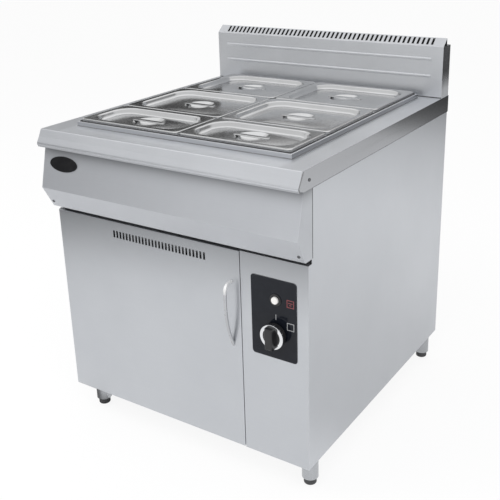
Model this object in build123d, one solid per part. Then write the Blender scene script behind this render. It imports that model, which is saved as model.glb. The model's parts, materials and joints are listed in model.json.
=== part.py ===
from build123d import *
import os
from math import atan2, cos, degrees, hypot, radians, sin

# A gas bain marie: six lidded gastronorm pans in a water well, on a cabinet with a door and gas controls.
# Millimetres. Origin on the floor under the middle of the cabinet, +X to the right, +Y to the rear, +Z up.

# Overall heights
worktop_height = 880.0      # floor to the worktop
flue_height = 172.0         # worktop to the top of the flue outlet
base_height = 93.0          # floor to the underside of the cabinet

# Sheets and clearances
top_sheet = 1.5             # worktop, fascia, well frame
casing_sheet = 1.0          # panels, door, flue
tank_sheet = 1.0            # tank and combustion chamber
casing_inset = 2.0          # panels behind the worktop's bands
seat_gap = 0.3              # between pieces that come apart
running_fit = 0.05          # radial, pins and spindles in their holes

# Worktop and fascia
rim_height = 40.0           # leaning front nose of the worktop
rim_lean = 20.0             # how far its lower edge stands forward
band_height = 49.0          # side and rear bands of the worktop
nose_return = 26.5          # underside of the nose, front to back
fold_radius = 3.0           # outer radius of the main folds
sheet_round = 0.9           # outer radius of small folds in thin sheet
fascia_seam = 17.0          # fascia's rear edge behind the door face
fascia_top_setback = 27.0   # fascia's top edge behind its fold
fascia_fold_drop = 158.0    # worktop to the fold
fascia_lower_drop = 220.0   # worktop to the fascia's lower edge
fascia_lower_setback = 34.0 # lower edge behind the fold
fascia_overhang = 1.0       # fascia wider than the casing, each side
fascia_gap = 15.0           # fascia's lower edge to the door's top

# Pans, lids and the frame that carries them
pan_width = 325.0           # gastronorm width over the flange
half_pan = 265.0            # gastronorm 1/2 over the flange
third_pan = 176.0           # gastronorm 1/3 over the flange
pan_depth = 150.0
pan_flange = 12.5
pan_sheet = 1.2
pan_corner = 45.0           # plan radius of the pan's body
pan_taper = 3.0             # degrees
pan_floor_radius = 14.0
column_gap = 2.0            # between the flanges of two columns
row_gap = 4.0               # between the flanges of two rows
well_setback = 74.0         # front flange behind the worktop's front edge
side_strip = 67.0           # worktop left and right of the frame
flue_strip = 22.0           # worktop between the frame and the flue
frame_height = 12.0         # well frame above the worktop
frame_drop = 10.0           # its inner wall below the worktop
frame_side = 7.0            # frame outside the flanges, left and right
frame_end = 5.0             # frame outside the flanges, front and back
flange_rest = 8.0           # flange carried on the frame
bar_width = 20.0            # divider and cross bars
bar_height = 16.0
lid_rim_height = 7.0
lid_ridge = 17.0            # ridge round the lid
lid_sink = 12.0             # tray floor below the ridge
lid_corner = 52.0           # plan radius of the tray's corners
lid_taper = 20.0            # degrees, lean of the tray's walls
lid_sheet = 1.2
lid_edge = 1.0              # lid inside the pan's flange
dish_radius = 44.0
dish_depth = 12.0
strap_width = 16.0
strap_overlap = 8.0         # strap beyond the dish at each end
strap_sheet = 2.0
strap_round = 6.4

# Tank, combustion chamber and flue
tank_depth = 190.0
tank_inset = 8.0            # tank wall inside the frame's outer wall
tank_flange = 12.0
chamber_inset = 75.0        # chamber's side inside the tank's side
chamber_height = 119.0
chamber_setback = 15.0      # chamber front behind the tank front
riser_gap = 2.0             # riser in front of the rear panel
flue_depth = 55.0
flue_front_height = 150.0
grille_run = 26.0           # plan depth of the sloping grille
grille_end = 27.0           # sheet left at each end of the slots
grille_slot_width = 7.0
grille_slot_pitch = 15.0
grille_slot_low = 6.0       # sheet left below a slot
grille_slot_high = 3.0      # sheet left above a slot
flue_mouth_margin = 5.0     # worktop cut inside the riser
rib_end = 36.0              # panel left at each end of a rib
rib_heights = (63.0, 113.0) # above the worktop
rib_width = 8.0
rib_rise = 3.0
rib_round = 2.6

# Door
face_setback = 48.0         # door and control panel behind the fold
control_width = 189.0       # control panel beside the door
door_depth = 21.0
door_edge = 1.0             # door inside the casing's side
door_gap = 2.0              # round the door
door_swing_gap = 3.0        # door's back to the left side panel
door_radius = 2.0
vent_row = 302.0            # length of the row of vents
vent_pitch = 11.0
vent_width = 6.3
vent_height = 20.0
vent_drop = 25.0            # below the door's top
vent_offset = 48.5          # row's middle right of the door's middle
hinge_inset = 6.0           # pin from the door's left and back
pin_radius = 4.0
pin_length = 14.0
bracket_sheet = 1.5
bracket_width = 26.0
handle_inset = 25.5         # handle's middle from the door's free edge
handle_width = 8.0
handle_length = 182.0
handle_reach = 31.0
handle_thick = 6.0
handle_shoulder = 20.0      # outer radius at the handle's top
handle_straight = 36.0      # straight below the shoulder
handle_foot = 16.0
handle_bevel = 1.6
handle_drop = 82.0          # handle's top below the door's top
catch_drop = 150.0          # catch's middle below the door's top
catch_height = 36.0
catch_width = 20.0
catch_length = 24.0
striker_sheet = 1.0

# Controls
plate_width = 128.0
plate_height = 212.0
plate_drop = 51.0           # below the control panel's top
plate_corner = 9.0
plate_sheet = 1.5
control_offset = 6.0        # knob and button right of the plate's middle
knob_drop = 143.0           # knob's middle below the plate's top
knob_radius = 24.0
knob_ring_radius = 32.0
knob_ring_thick = 5.0
knob_skirt = 1.5            # ring wider than the black skirt behind it
knob_thick = 18.0
knob_gap = 5.0              # behind the knob, for its push
knob_travel = 4.0
grip_width = 20.0
grip_span = 56.0
grip_reach = 15.0
grip_round = 2.4
spindle_radius = 4.0
spindle_hole = 5.0
collar_radius = 8.0
collar_thick = 4.0
tap_block = 34.0
tap_height = 44.0
tap_nose = 12.0             # radius
tap_boss = 10.0             # radius, where the pipes screw in
tap_nose_length = 24.0
pilot_port = (15.3, 10.2)   # pilot line on the tap: left of its middle, behind its front
probe_port = (11.3, 27.2)   # thermocouple on the tap
button_drop = 54.0          # button's middle below the plate's top
button_radius = 9.2
button_proud = 5.0
button_travel = 4.0
igniter_radius = 13.5
igniter_flange = 15.5
igniter_lip = 2.5
igniter_nut = 4.0           # thickness
control_round = 1.0         # rounded front edges of the small controls
igniter_length = 32.0

# Gas, drain and overflow
pipe_radius = 8.0
pipe_bore = 6.0
pipe_bend = 16.0
supply_bend = 48.0
inlet_height = 180.0
inlet_radius = 15.0
inlet_nut = 19.5            # radius
inlet_nut_thick = 5.0
inlet_bore = 9.3
inlet_thread = 18.0
inlet_length = 30.0
burner_count = 3
burner_pitch = 150.0
burner_radius = 22.0
burner_wall = 1.5
burner_drop = 67.0          # burner's middle below the tank
burner_ports = 20
port_width = 3.0
saddle_thick = 6.0
nozzle_radius = 5.0
nozzle_hole = 9.0
manifold_gap = 18.0         # manifold's middle in front of the chamber
lead_radius = 1.5
probe_radius = 6.0
pilot_reach = 18.0          # pilot and probe below the burner's middle
lead_pitch = 5.0            # each thin lead below the one before
lead_bend = 8.0
pilot_spacing = 16.0
partition_gap = 50.0        # partition below the chamber
drain_inset = 35.0          # drain's middle inside the tank's side
drain_setback = 48.0        # behind the tank's front
drain_radius = 13.5
drain_bore = 11.0
drain_flange = 21.6         # radius
drain_flange_thick = 3.0
drain_length = 106.0
valve_radius = 18.0
valve_length = 70.0
valve_round = 3.0
valve_stem = 6.0            # radius
tail_length = 22.0
stem_length = 8.0
lever_length = 95.0
lever_width = 16.0
lever_sheet = 3.0
lever_round = 6.4
overflow_drop = 35.0        # below the worktop
overflow_radius = 9.0
overflow_bore = 7.0
overflow_flange = 14.4      # radius
overflow_flange_thick = 2.0
overflow_bend = 18.0
overflow_reach = 32.0
overflow_length = 330.0

# Legs, screws and badge
leg_radius = 22.0
leg_wall = 1.5
leg_plug = 4.0
leg_inset = 36.0            # from the casing's side
front_leg_setback = 68.0    # behind the door face
rear_leg_setback = 23.0     # in front of the rear panel
foot_radius = 17.0
foot_height = 20.0
foot_round = 4.0
foot_stem = 6.0             # radius
foot_stem_length = 42.0
screw_radius = 4.0
screw_head = 2.0
screw_round = 1.2
fascia_screw_inset = 12.0
fascia_screw_rise = 17.0    # above the fascia's lower edge
band_screw_setback = 31.0   # behind the worktop's front edge
band_screw_drop = 27.0      # below the worktop
badge_length = 98.0
badge_height = 41.0
badge_sheet = 2.0
badge_round = 1.0
badge_inset = 75.0          # its middle from the worktop's left end
badge_drop = 88.0           # its middle below the worktop

# Places worked out from the sizes
row_lengths = {"front": third_pan, "middle": half_pan, "back": half_pan}
pans_length = sum(row_lengths.values()) + row_gap * (len(row_lengths) - 1)
pans_x = pan_width + column_gap / 2
width = 2 * (pans_x + frame_side + side_strip)
depth = rim_lean + well_setback + pans_length + frame_end + flue_strip + flue_depth
front = -depth / 2
rear = depth / 2
top = worktop_height
under_top = top - top_sheet
half_width = width / 2
edge_y = front + rim_lean
casing_x = half_width - casing_inset
casing_in = casing_x - casing_sheet
back_y = rear - casing_inset
face_y = front + face_setback
seam_y = face_y + fascia_seam
base_top = base_height + top_sheet

frame_top = top + frame_height
pans_front = edge_y + well_setback
pans_back = pans_front + pans_length
frame_out = ((-pans_x - frame_side, pans_x + frame_side), (pans_front - frame_end, pans_back + frame_end))
frame_in = ((-pans_x + flange_rest, pans_x - flange_rest),
            (pans_front + flange_rest, pans_back - flange_rest))
flange_top = frame_top + pan_sheet
lid_top = flange_top + lid_rim_height
lid_floor = lid_top - lid_sink

tank_x = frame_out[0][1] - tank_inset
tank_front = frame_out[1][0] + tank_inset
tank_back = frame_out[1][1] - tank_inset
tank_plan = ((-tank_x, tank_x), (tank_front, tank_back))
tank_floor = top - tank_depth
tank_under = tank_floor - tank_sheet
chamber_half_width = tank_x - chamber_inset
chamber_front = tank_front + chamber_setback
chamber_back = back_y - casing_sheet - riser_gap
chamber_under = tank_under - chamber_height
flue_y = rear - flue_depth

door_left = -casing_x + door_edge
control_left = casing_x - control_width
door_right = control_left - door_gap
door_bottom = base_top + bracket_sheet + door_edge
door_top = top - fascia_lower_drop - fascia_gap
door_back = face_y + door_depth
rail_bottom = door_top + door_gap
hinge_x = door_left + hinge_inset
hinge_y = door_back - hinge_inset
left_front = door_back + door_swing_gap
partition_x = control_left + casing_sheet
plate_x = (control_left + casing_x) / 2
gas_x = plate_x + control_offset
plate_top = rail_bottom - plate_drop
plate_y = face_y - plate_sheet
knob_z = plate_top - knob_drop
button_z = plate_top - button_drop
knob_back = plate_y - knob_gap
tap_front = face_y + casing_sheet + tap_nose_length
manifold_y = chamber_front - manifold_gap
manifold_end = gas_x - pipe_bend - pipe_radius
burner_z = tank_under - burner_drop
pilot_x = burner_pitch / 2 - pilot_spacing
pilot_base = burner_z - pilot_reach
drain_x = tank_x - drain_inset
drain_y = tank_front + drain_setback
valve_top = tank_under - drain_length
leg_bottom = foot_height
legs = {
    "front_left": (-casing_x + leg_inset, face_y + front_leg_setback),
    "front_right": (casing_x - leg_inset, face_y + front_leg_setback),
    "rear_left": (-casing_x + leg_inset, back_y - rear_leg_setback),
    "rear_right": (casing_x - leg_inset, back_y - rear_leg_setback),
}


def grow(plan, by):
    # plan rectangle made larger on all four sides
    return [(low - by, high + by) for low, high in plan]


def block(x, y, z):
    # box from its lower and upper limits
    middle = [(a + b) / 2 for a, b in (x, y, z)]
    return Pos(*middle) * Box(x[1] - x[0], y[1] - y[0], z[1] - z[0])


def rod_x(y, z, radius, x0, x1):
    return Pos((x0 + x1) / 2, y, z) * Rot(0, 90, 0) * Cylinder(radius, x1 - x0)


def rod_y(x, z, radius, y0, y1):
    return Pos(x, (y0 + y1) / 2, z) * Rot(90, 0, 0) * Cylinder(radius, y1 - y0)


def rod_z(x, y, radius, z0, z1):
    return Pos(x, y, (z0 + z1) / 2) * Cylinder(radius, z1 - z0)


def side_profile(points, x0, x1):
    # outline in Y and Z, drawn out along X
    face = make_face(Polyline(*points, close=True))
    return extrude(Plane.YZ.offset(x0) * face, x1 - x0)


def bent_tube(points, radius, bore, bend):
    path = FilletPolyline(*points, radius=bend)
    start = Plane(origin=path @ 0, z_dir=path % 0)
    section = Circle(radius) - Circle(bore) if bore else Circle(radius)
    return sweep(start * section, path)


def group(pieces):
    return Compound([solid for piece in pieces for solid in piece.solids()])


def row_spans():
    # front and back flange edges of each row of pans
    spans = {}
    y = pans_front
    for name, length in row_lengths.items():
        spans[name] = (y, y + length)
        y += length + row_gap
    return spans


def worktop():
    nose_back = front + nose_return
    outline = [(edge_y, top), (front, top - rim_height), (nose_back, top - band_height),
               (rear, top - band_height), (rear, top)]
    shell = side_profile(outline, -half_width, half_width)
    folds = shell.edges().filter_by(Axis.X).group_by(Axis.Y)
    shell = fillet(folds[0] + folds[1].sort_by(Axis.Z)[-1:], fold_radius)
    hollow = side_profile(
        [(edge_y + top_sheet, under_top), (front + top_sheet, top - rim_height + top_sheet / 2),
         (nose_back, top - band_height + top_sheet), (rear - top_sheet, top - band_height + top_sheet),
         (rear - top_sheet, under_top)],
        -half_width + top_sheet, half_width - top_sheet)
    below = block((-half_width + top_sheet, half_width - top_sheet), (nose_back, rear - top_sheet),
                  (top - band_height - top_sheet, under_top))
    through = (under_top - top_sheet, top + top_sheet)
    well = block(*grow(tank_plan, -tank_sheet), through)
    mouth_plan = ((-chamber_half_width, chamber_half_width), (flue_y, rear))
    mouth = block(*grow(mouth_plan, -flue_mouth_margin), through)
    return shell - hollow - below - well - mouth


def well_frame():
    outer = block(*frame_out, (top, frame_top))
    collar = block(*grow(frame_in, top_sheet), (top - frame_drop, frame_top))
    rim = fillet(outer.edges().group_by(Axis.Z)[-1], top_sheet)
    hollow = block(*grow(frame_out, -top_sheet), (top - top_sheet, frame_top - top_sheet))
    opening = block(*frame_in, (top - band_height, frame_top + top_sheet))
    return rim - hollow + collar - opening


def water_tank():
    # floor and four walls with turned-out lips, welded along their edges
    x, y = tank_plan
    lip_x, _ = grow(tank_plan, tank_flange)
    wall_z = (tank_floor, under_top)
    lip_z = (under_top - tank_sheet, under_top)
    drain = rod_z(-drain_x, drain_y, drain_bore, tank_under - tank_sheet, tank_floor + tank_sheet)
    overflow_x = (-tank_x - tank_sheet, -tank_x + 2 * tank_sheet)
    overflow = rod_x(drain_y, top - overflow_drop, overflow_bore, *overflow_x)
    sheets = [block(x, y, (tank_under, tank_floor)) - drain]
    for edge, inward in zip(y, (1, -1)):
        wall_y = sorted((edge, edge + inward * tank_sheet))
        lip_y = sorted((edge, edge - inward * tank_flange))
        sheets.append(block(x, wall_y, wall_z) + block(lip_x, lip_y, lip_z))
    between = (y[0] + tank_sheet, y[1] - tank_sheet)
    for edge, inward in zip(x, (1, -1)):
        wall_x = sorted((edge, edge + inward * tank_sheet))
        lip_x = sorted((edge, edge - inward * tank_flange))
        sheets.append(block(wall_x, between, wall_z) + block(lip_x, y, lip_z) - overflow)
    return group(sheets)


def channel_bar(x, y):
    # inverted channel with its top flush with the well frame
    bar = block(x, y, (frame_top - bar_height, frame_top))
    along_y = (y[1] - y[0]) > (x[1] - x[0])
    inner_x = (x[0] + top_sheet, x[1] - top_sheet) if along_y else x
    inner_y = y if along_y else (y[0] + top_sheet, y[1] - top_sheet)
    return bar - block(inner_x, inner_y, (frame_top - bar_height - top_sheet, frame_top - top_sheet))


def divider_bar():
    return channel_bar((-bar_width / 2, bar_width / 2), frame_in[1])


def cross_bars():
    bars = []
    spans = list(row_spans().values())
    for ahead in spans[:-1]:
        middle = ahead[1] + row_gap / 2
        y = (middle - bar_width / 2, middle + bar_width / 2)
        bars.append(channel_bar((frame_in[0][0], -bar_width / 2), y))
        bars.append(channel_bar((bar_width / 2, frame_in[0][1]), y))
    return group(bars)


def pan_middle(column, span):
    return column * (pan_width + column_gap) / 2, (span[0] + span[1]) / 2


def pan(column, span):
    middle = pan_middle(column, span)
    length = span[1] - span[0]
    body_x = pan_width - 2 * pan_flange
    body_y = length - 2 * pan_flange
    corner = min(pan_corner, body_y / 3)
    down = Plane(origin=(*middle, flange_top), z_dir=(0, 0, -1))
    outer = extrude(down * RectangleRounded(body_x, body_y, corner), pan_depth, taper=pan_taper)
    outer = fillet(outer.edges().group_by(Axis.Z)[0], pan_floor_radius)
    inner_plan = RectangleRounded(body_x - 2 * pan_sheet, body_y - 2 * pan_sheet, corner - pan_sheet)
    inner = extrude(down * inner_plan, pan_depth - pan_sheet, taper=pan_taper)
    inner = fillet(inner.edges().group_by(Axis.Z)[0], pan_floor_radius - pan_sheet)
    flange = extrude(down * RectangleRounded(pan_width, length, pan_flange), pan_sheet)
    return outer + flange - inner


def lid(column, span):
    middle = pan_middle(column, span)
    size_x = pan_width - 2 * lid_edge
    size_y = span[1] - span[0] - 2 * lid_edge
    up = Plane(origin=(*middle, flange_top))
    down = Plane(origin=(*middle, lid_top), z_dir=(0, 0, -1))
    rim = extrude(up * RectangleRounded(size_x, size_y, pan_flange), lid_rim_height)
    rim = fillet(rim.edges().group_by(Axis.Z)[-1], lid_sheet)
    under_plan = RectangleRounded(size_x - 2 * lid_sheet, size_y - 2 * lid_sheet, pan_flange - lid_sheet)
    under_rim = extrude(up * under_plan, lid_rim_height - lid_sheet)
    tray_x = size_x - 2 * lid_ridge
    tray_y = size_y - 2 * lid_ridge
    tray = extrude(down * RectangleRounded(tray_x, tray_y, lid_corner), lid_sink, taper=lid_taper)
    wall = lid_sheet / cos(radians(lid_taper))
    tray_out = extrude(down * RectangleRounded(tray_x + 2 * wall, tray_y + 2 * wall, lid_corner + wall),
                       lid_sink + lid_sheet, taper=lid_taper)
    dish = rod_z(*middle, dish_radius, lid_floor - dish_depth, lid_floor)
    dish_out = rod_z(*middle, dish_radius + lid_sheet, lid_floor - dish_depth - lid_sheet, lid_floor)
    sheet = rim - under_rim + tray_out + dish_out - tray - dish
    strap = Box(2 * (dish_radius + strap_overlap), strap_width, strap_sheet)
    strap = Pos(*middle, lid_floor + strap_sheet / 2) * strap
    strap = fillet(strap.edges().filter_by(Axis.Z), strap_round)
    return group([sheet, strap])


def flue_front_panel():
    panel = block((-casing_x, casing_x), (flue_y, flue_y + casing_sheet), (top, top + flue_front_height))
    for height in rib_heights:
        rib = block((-casing_x + rib_end, casing_x - rib_end), (flue_y - rib_rise, flue_y),
                    (top + height - rib_width / 2, top + height + rib_width / 2))
        panel += fillet(rib.edges().filter_by(Axis.X).group_by(Axis.Y)[0], rib_round)
    return panel


def flue_top_grille():
    # sloping slotted sheet with its back folded down
    low = top + flue_front_height
    high = top + flue_height
    slope = atan2(high - low, grille_run)
    length = hypot(high - low, grille_run)
    drop = casing_sheet / cos(slope)
    back = flue_y + grille_run
    outline = [(flue_y, low), (back, high), (back, low), (back - casing_sheet, low),
               (back - casing_sheet, high - drop - casing_sheet), (flue_y + drop, low)]
    sheet = side_profile(outline, -casing_x, casing_x)
    slot_length = length - grille_slot_low - grille_slot_high
    cutter = Rot(degrees(slope), 0, 0) * Box(grille_slot_width, slot_length, 3 * casing_sheet)
    share = (grille_slot_low + slot_length / 2) / length
    middle_y = flue_y + share * grille_run
    middle_z = low + share * (high - low)
    count = int(2 * (casing_x - grille_end) / grille_slot_pitch)
    first = -(count - 1) / 2 * grille_slot_pitch
    cutters = [Pos(first + i * grille_slot_pitch, middle_y, middle_z) * cutter for i in range(count)]
    return sheet - cutters


def flue_casing():
    x = (-casing_x, casing_x)
    y = (flue_y + casing_sheet, rear)
    z = (top, top + flue_front_height)
    inside = block((x[0] + casing_sheet, x[1] - casing_sheet), (y[0] - casing_sheet, y[1] - casing_sheet),
                   (z[0] - casing_sheet, z[1] + casing_sheet))
    return block(x, y, z) - inside


def fascia_points():
    fold = (front, top - fascia_fold_drop)
    upper = (front + fascia_top_setback, top - band_height - seat_gap)
    lower = (front + fascia_lower_setback, top - fascia_lower_drop)
    return upper, fold, lower


def front_fascia():
    upper, fold, lower = fascia_points()
    half = casing_x + fascia_overhang
    shell = side_profile([upper, fold, lower, (seam_y, lower[1]), (seam_y, upper[1])], -half, half)
    folds = shell.edges().filter_by(Axis.X).sort_by(Axis.Y)
    folds = folds[0:1] + folds[1:3].sort_by(Axis.Z)[0:1]
    ends = shell.edges().filter_by(Axis.X, reverse=True)
    ends = ends.filter_by_position(Axis.Y, front, seam_y - top_sheet)
    ends = ends.filter_by_position(Axis.Z, lower[1] + top_sheet, upper[1] - top_sheet)
    shell = fillet(folds + ends, top_sheet)
    lean = top_sheet * hypot(upper[0] - fold[0], upper[1] - fold[1]) / (upper[1] - fold[1])
    chamfer = top_sheet * hypot(lower[0] - fold[0], lower[1] - fold[1]) / (fold[1] - lower[1])
    hollow = side_profile(
        [(upper[0] + lean, upper[1] + top_sheet), (fold[0] + (lean + chamfer) / 2, fold[1]),
         (lower[0] + chamfer, lower[1] + top_sheet), (seam_y + top_sheet, lower[1] + top_sheet),
         (seam_y + top_sheet, upper[1] + top_sheet)],
        -half + top_sheet, half - top_sheet)
    return shell - hollow


def on_fascia(start, end, drop):
    # point on a sloping face of the fascia at a distance below the worktop, and the face's lean
    share = (start[1] - (top - drop)) / (start[1] - end[1])
    y = start[0] + share * (end[0] - start[0])
    lean = degrees(atan2(end[0] - start[0], start[1] - end[1]))
    return y, top - drop, lean


def screw():
    head = Cylinder(screw_radius, screw_head, align=(Align.CENTER, Align.CENTER, Align.MIN))
    head = fillet(head.edges().group_by(Axis.Z)[-1], screw_round)
    slot = Pos(0, 0, screw_head) * Box(screw_radius, screw_radius / 4, screw_head / 2)
    return head - slot - Rot(0, 0, 90) * slot


def casing_screws():
    upper, fold, lower = fascia_points()
    y, z, lean = on_fascia(fold, lower, fascia_lower_drop - fascia_screw_rise)
    screws = []
    for side in (-1, 1):
        at_x = side * (casing_x + fascia_overhang - fascia_screw_inset)
        screws.append(Pos(at_x, y, z) * Rot(90 + lean, 0, 0) * screw())
        band = Pos(side * half_width, edge_y + band_screw_setback, top - band_screw_drop)
        screws.append(band * Rot(0, side * 90, 0) * screw())
    return group(screws)


def badge_plate():
    upper, fold, lower = fascia_points()
    y, z, lean = on_fascia(upper, fold, badge_drop)
    plate = extrude(Ellipse(badge_length / 2, badge_height / 2), badge_sheet)
    plate = fillet(plate.edges().group_by(Axis.Z)[-1], badge_round)
    return Pos(-half_width + badge_inset, y, z) * Rot(90 + lean, 0, 0) * plate


def side_panel(side, lower_front):
    outline = [(seam_y, under_top), (seam_y, rail_bottom), (lower_front, rail_bottom),
               (lower_front, base_height), (back_y, base_height), (back_y, under_top)]
    x0, x1 = sorted((side * casing_in, side * casing_x))
    return side_profile(outline, x0, x1)


def rear_panel():
    panel = block((-casing_in, casing_in), (back_y - casing_sheet, back_y), (base_top, under_top))
    return panel - rod_y(gas_x, inlet_height, inlet_radius + seat_gap, back_y - 2 * casing_sheet, rear)


def base_panel():
    return block((-casing_in, casing_in), (face_y + hinge_inset, back_y), (base_height, base_top))


def front_rail():
    web = block((-casing_in, casing_in), (seam_y, seam_y + top_sheet), (rail_bottom, under_top))
    shelf_y = (seam_y, manifold_y - pipe_radius)
    shelf = block((-casing_in, casing_in), shelf_y, (rail_bottom, rail_bottom + top_sheet))
    return web + shelf


def control_holes():
    # holes for the spindle and the igniter, through the control panel and its plate
    y = (plate_y - plate_sheet, face_y + 2 * casing_sheet)
    return rod_y(gas_x, knob_z, spindle_hole, *y) + rod_y(gas_x, button_z, igniter_radius + seat_gap, *y)


def control_panel():
    x = (control_left, casing_x)
    z = (base_top, rail_bottom)
    sheet = block(x, (face_y, face_y + casing_sheet), (base_height, rail_bottom))
    sheet = fillet(sheet.edges().filter_by(Axis.Z).group_by(Axis.Y)[0], sheet_round)
    behind = face_y + casing_sheet
    left = block((x[0], x[0] + casing_sheet), (behind, door_back), z)
    head = block((x[0] + casing_sheet, casing_in), (behind, seam_y), (z[1] - casing_sheet, z[1]))
    return sheet + left + head - control_holes()


def control_plate():
    middle = Plane.XZ.offset(-face_y) * Pos(plate_x, plate_top - plate_height / 2)
    plate = extrude(middle * RectangleRounded(plate_width, plate_height, plate_corner), plate_sheet)
    plate = chamfer(plate.edges().group_by(Axis.Y)[0], plate_sheet / 2)
    return plate - control_holes()


def partition_panel():
    return block((partition_x, partition_x + casing_sheet), (door_back - hinge_inset, back_y - casing_sheet),
                 (base_top, chamber_under - partition_gap))


def combustion_chamber():
    x = (-chamber_half_width, chamber_half_width)
    riser_top = under_top - tank_sheet
    low = block(x, (chamber_front, chamber_back), (chamber_under, tank_under))
    riser = block(x, (tank_back, chamber_back), (chamber_under, riser_top))
    floor = chamber_under + tank_sheet
    low_in = block(*grow((x, (chamber_front, chamber_back)), -tank_sheet), (floor, tank_under))
    riser_in = block(*grow((x, (tank_back, chamber_back)), -tank_sheet), (floor, top))
    chamber = low + riser - low_in - riser_in
    through = (chamber_under - tank_sheet, floor + tank_sheet)
    slot_y = grow((burner_span(), ), -2 * saddle_thick - burner_radius)[0]
    for x in burner_places():
        chamber -= rod_y(x, burner_z, nozzle_hole, chamber_front - tank_sheet, chamber_front + 2 * tank_sheet)
        chamber -= block((x - burner_radius / 2, x + burner_radius / 2), slot_y, through)
    for i in range(3):
        chamber -= rod_z(pilot_x + i * pilot_spacing, pilot_y(), lead_radius + seat_gap, *through)
    return chamber


def burner_places():
    return [(i - (burner_count - 1) / 2) * burner_pitch for i in range(burner_count)]


def burner_span():
    return chamber_front + 2 * saddle_thick, tank_back - 2 * saddle_thick


def pilot_y():
    return burner_span()[0] + 2 * burner_radius


def burner_tubes():
    y0, y1 = burner_span()
    tubes = []
    for x in burner_places():
        tube = rod_y(x, burner_z, burner_radius, y0, y1)
        for y in (y0 + saddle_thick, y1 - 2 * saddle_thick):
            tube += block((x - burner_radius, x + burner_radius), (y, y + saddle_thick),
                          (chamber_under + tank_sheet, burner_z))
        tube -= rod_y(x, burner_z, burner_radius - burner_wall, y0, y1 - burner_wall)
        pitch = (y1 - y0 - 4 * burner_radius) / (burner_ports - 1)
        ports = [block((x - burner_radius / 2, x + burner_radius / 2),
                       (y0 + 2 * burner_radius + i * pitch, y0 + 2 * burner_radius + i * pitch + port_width),
                       (burner_z + burner_radius / 2, burner_z + burner_radius)) for i in range(burner_ports)]
        tubes.append(tube - ports)
    return group(tubes)


def gas_manifold():
    places = burner_places()
    pipe = rod_x(manifold_y, burner_z, pipe_radius, places[0] - 2 * pipe_radius, manifold_end)
    bore = rod_x(manifold_y, burner_z, pipe_bore, places[0] - pipe_radius, manifold_end)
    for x in places:
        pipe += rod_y(x, burner_z, nozzle_radius, manifold_y, chamber_front + saddle_thick)
        bore += rod_y(x, burner_z, nozzle_radius / 4, manifold_y, chamber_front + saddle_thick)
        clip_x = x + burner_pitch / 4
        pipe += block((clip_x - pipe_radius, clip_x + pipe_radius), (manifold_y, chamber_front),
                      (burner_z - pipe_radius, burner_z + pipe_radius))
    return pipe - bore


def pilot_burner():
    # bracket with the pilot's hood, and the spark electrode that it holds
    floor = chamber_under + tank_sheet
    y = pilot_y()
    x = pilot_x
    bracket_y = y + probe_radius + seat_gap
    bracket_x = (x - pilot_spacing, x + 3 * pilot_spacing)
    bracket = block(bracket_x, (bracket_y, bracket_y + 2 * tank_sheet), (floor, burner_z))
    bracket += block((x - lead_radius, x + lead_radius), (y + lead_radius, bracket_y), (pilot_base, burner_z))
    hood = rod_z(x, y, probe_radius, pilot_base, burner_z)
    bore = rod_z(x, y, probe_radius / 2, pilot_base + probe_radius, burner_z)
    electrode_x = x + pilot_spacing
    electrode = rod_z(electrode_x, y, probe_radius, floor + probe_radius, burner_z - probe_radius)
    electrode += rod_z(electrode_x, y, lead_radius, burner_z - probe_radius, burner_z + probe_radius)
    return group([bracket + hood - bore, electrode])


def lead(x, start_z, level, end):
    # thin lead from the pilot down through the chamber's floor, forward, then across above the partition
    z = chamber_under - lead_bend - level * lead_pitch
    points = [(x, pilot_y(), start_z), (x, pilot_y(), z), (x, end[1], z)]
    return points + ([(end[0], end[1], z), end] if level != 2 else [end])


def thermocouple():
    x = pilot_x + 2 * pilot_spacing
    probe = rod_z(x, pilot_y(), probe_radius, pilot_base, burner_z + probe_radius)
    end = (gas_x - probe_port[0], tap_front + probe_port[1], knob_z + tap_height / 2)
    return probe + bent_tube(lead(x, pilot_base, 3, end), lead_radius, 0, lead_bend)


def gas_tap():
    body = Pos(gas_x, tap_front + tap_block / 2, knob_z) * Box(tap_block, tap_block, tap_height)
    body += rod_y(gas_x, knob_z, tap_nose, face_y + casing_sheet, tap_front)
    for end in (-1, 1):
        ends = sorted((knob_z + end * tap_height / 2, knob_z + end * (tap_height / 2 + pipe_radius)))
        body += rod_z(gas_x, manifold_y, tap_boss, *ends)
    chamber_end = tap_front - knob_travel
    chamber = rod_y(gas_x, knob_z, collar_radius + seat_gap, face_y + casing_sheet, chamber_end)
    bore = rod_y(gas_x, knob_z, spindle_radius + running_fit, chamber_end, tap_front + tap_block / 2)
    return body - chamber - bore


def gas_pipes():
    tap_top = knob_z + tap_height / 2 + pipe_radius
    tap_bottom = knob_z - tap_height / 2 - pipe_radius
    corner = (gas_x, manifold_y, burner_z)
    feed_path = [(gas_x, manifold_y, tap_top), corner, (manifold_end, manifold_y, burner_z)]
    feed = bent_tube(feed_path, pipe_radius, pipe_bore, pipe_bend)
    supply_path = [(gas_x, manifold_y, tap_bottom), (gas_x, manifold_y, inlet_height),
                   (gas_x, rear - inlet_length, inlet_height)]
    supply = bent_tube(supply_path, pipe_radius, pipe_bore, supply_bend)
    pilot_end = (gas_x - pilot_port[0], tap_front + pilot_port[1], knob_z + tap_height / 2)
    pilot_line = bent_tube(lead(pilot_x, pilot_base, 1, pilot_end), lead_radius, 0, lead_bend)
    return group([feed, supply, pilot_line])


def gas_inlet():
    body = rod_y(gas_x, inlet_height, inlet_radius, rear - inlet_length, rear)
    thread = rod_y(gas_x, inlet_height, inlet_bore, rear - inlet_thread, rear)
    bore = rod_y(gas_x, inlet_height, pipe_bore, rear - inlet_length, rear)
    nut_back = back_y - casing_sheet
    nut = rod_y(gas_x, inlet_height, inlet_nut, nut_back - inlet_nut_thick, nut_back)
    return body + nut - thread - bore


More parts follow.
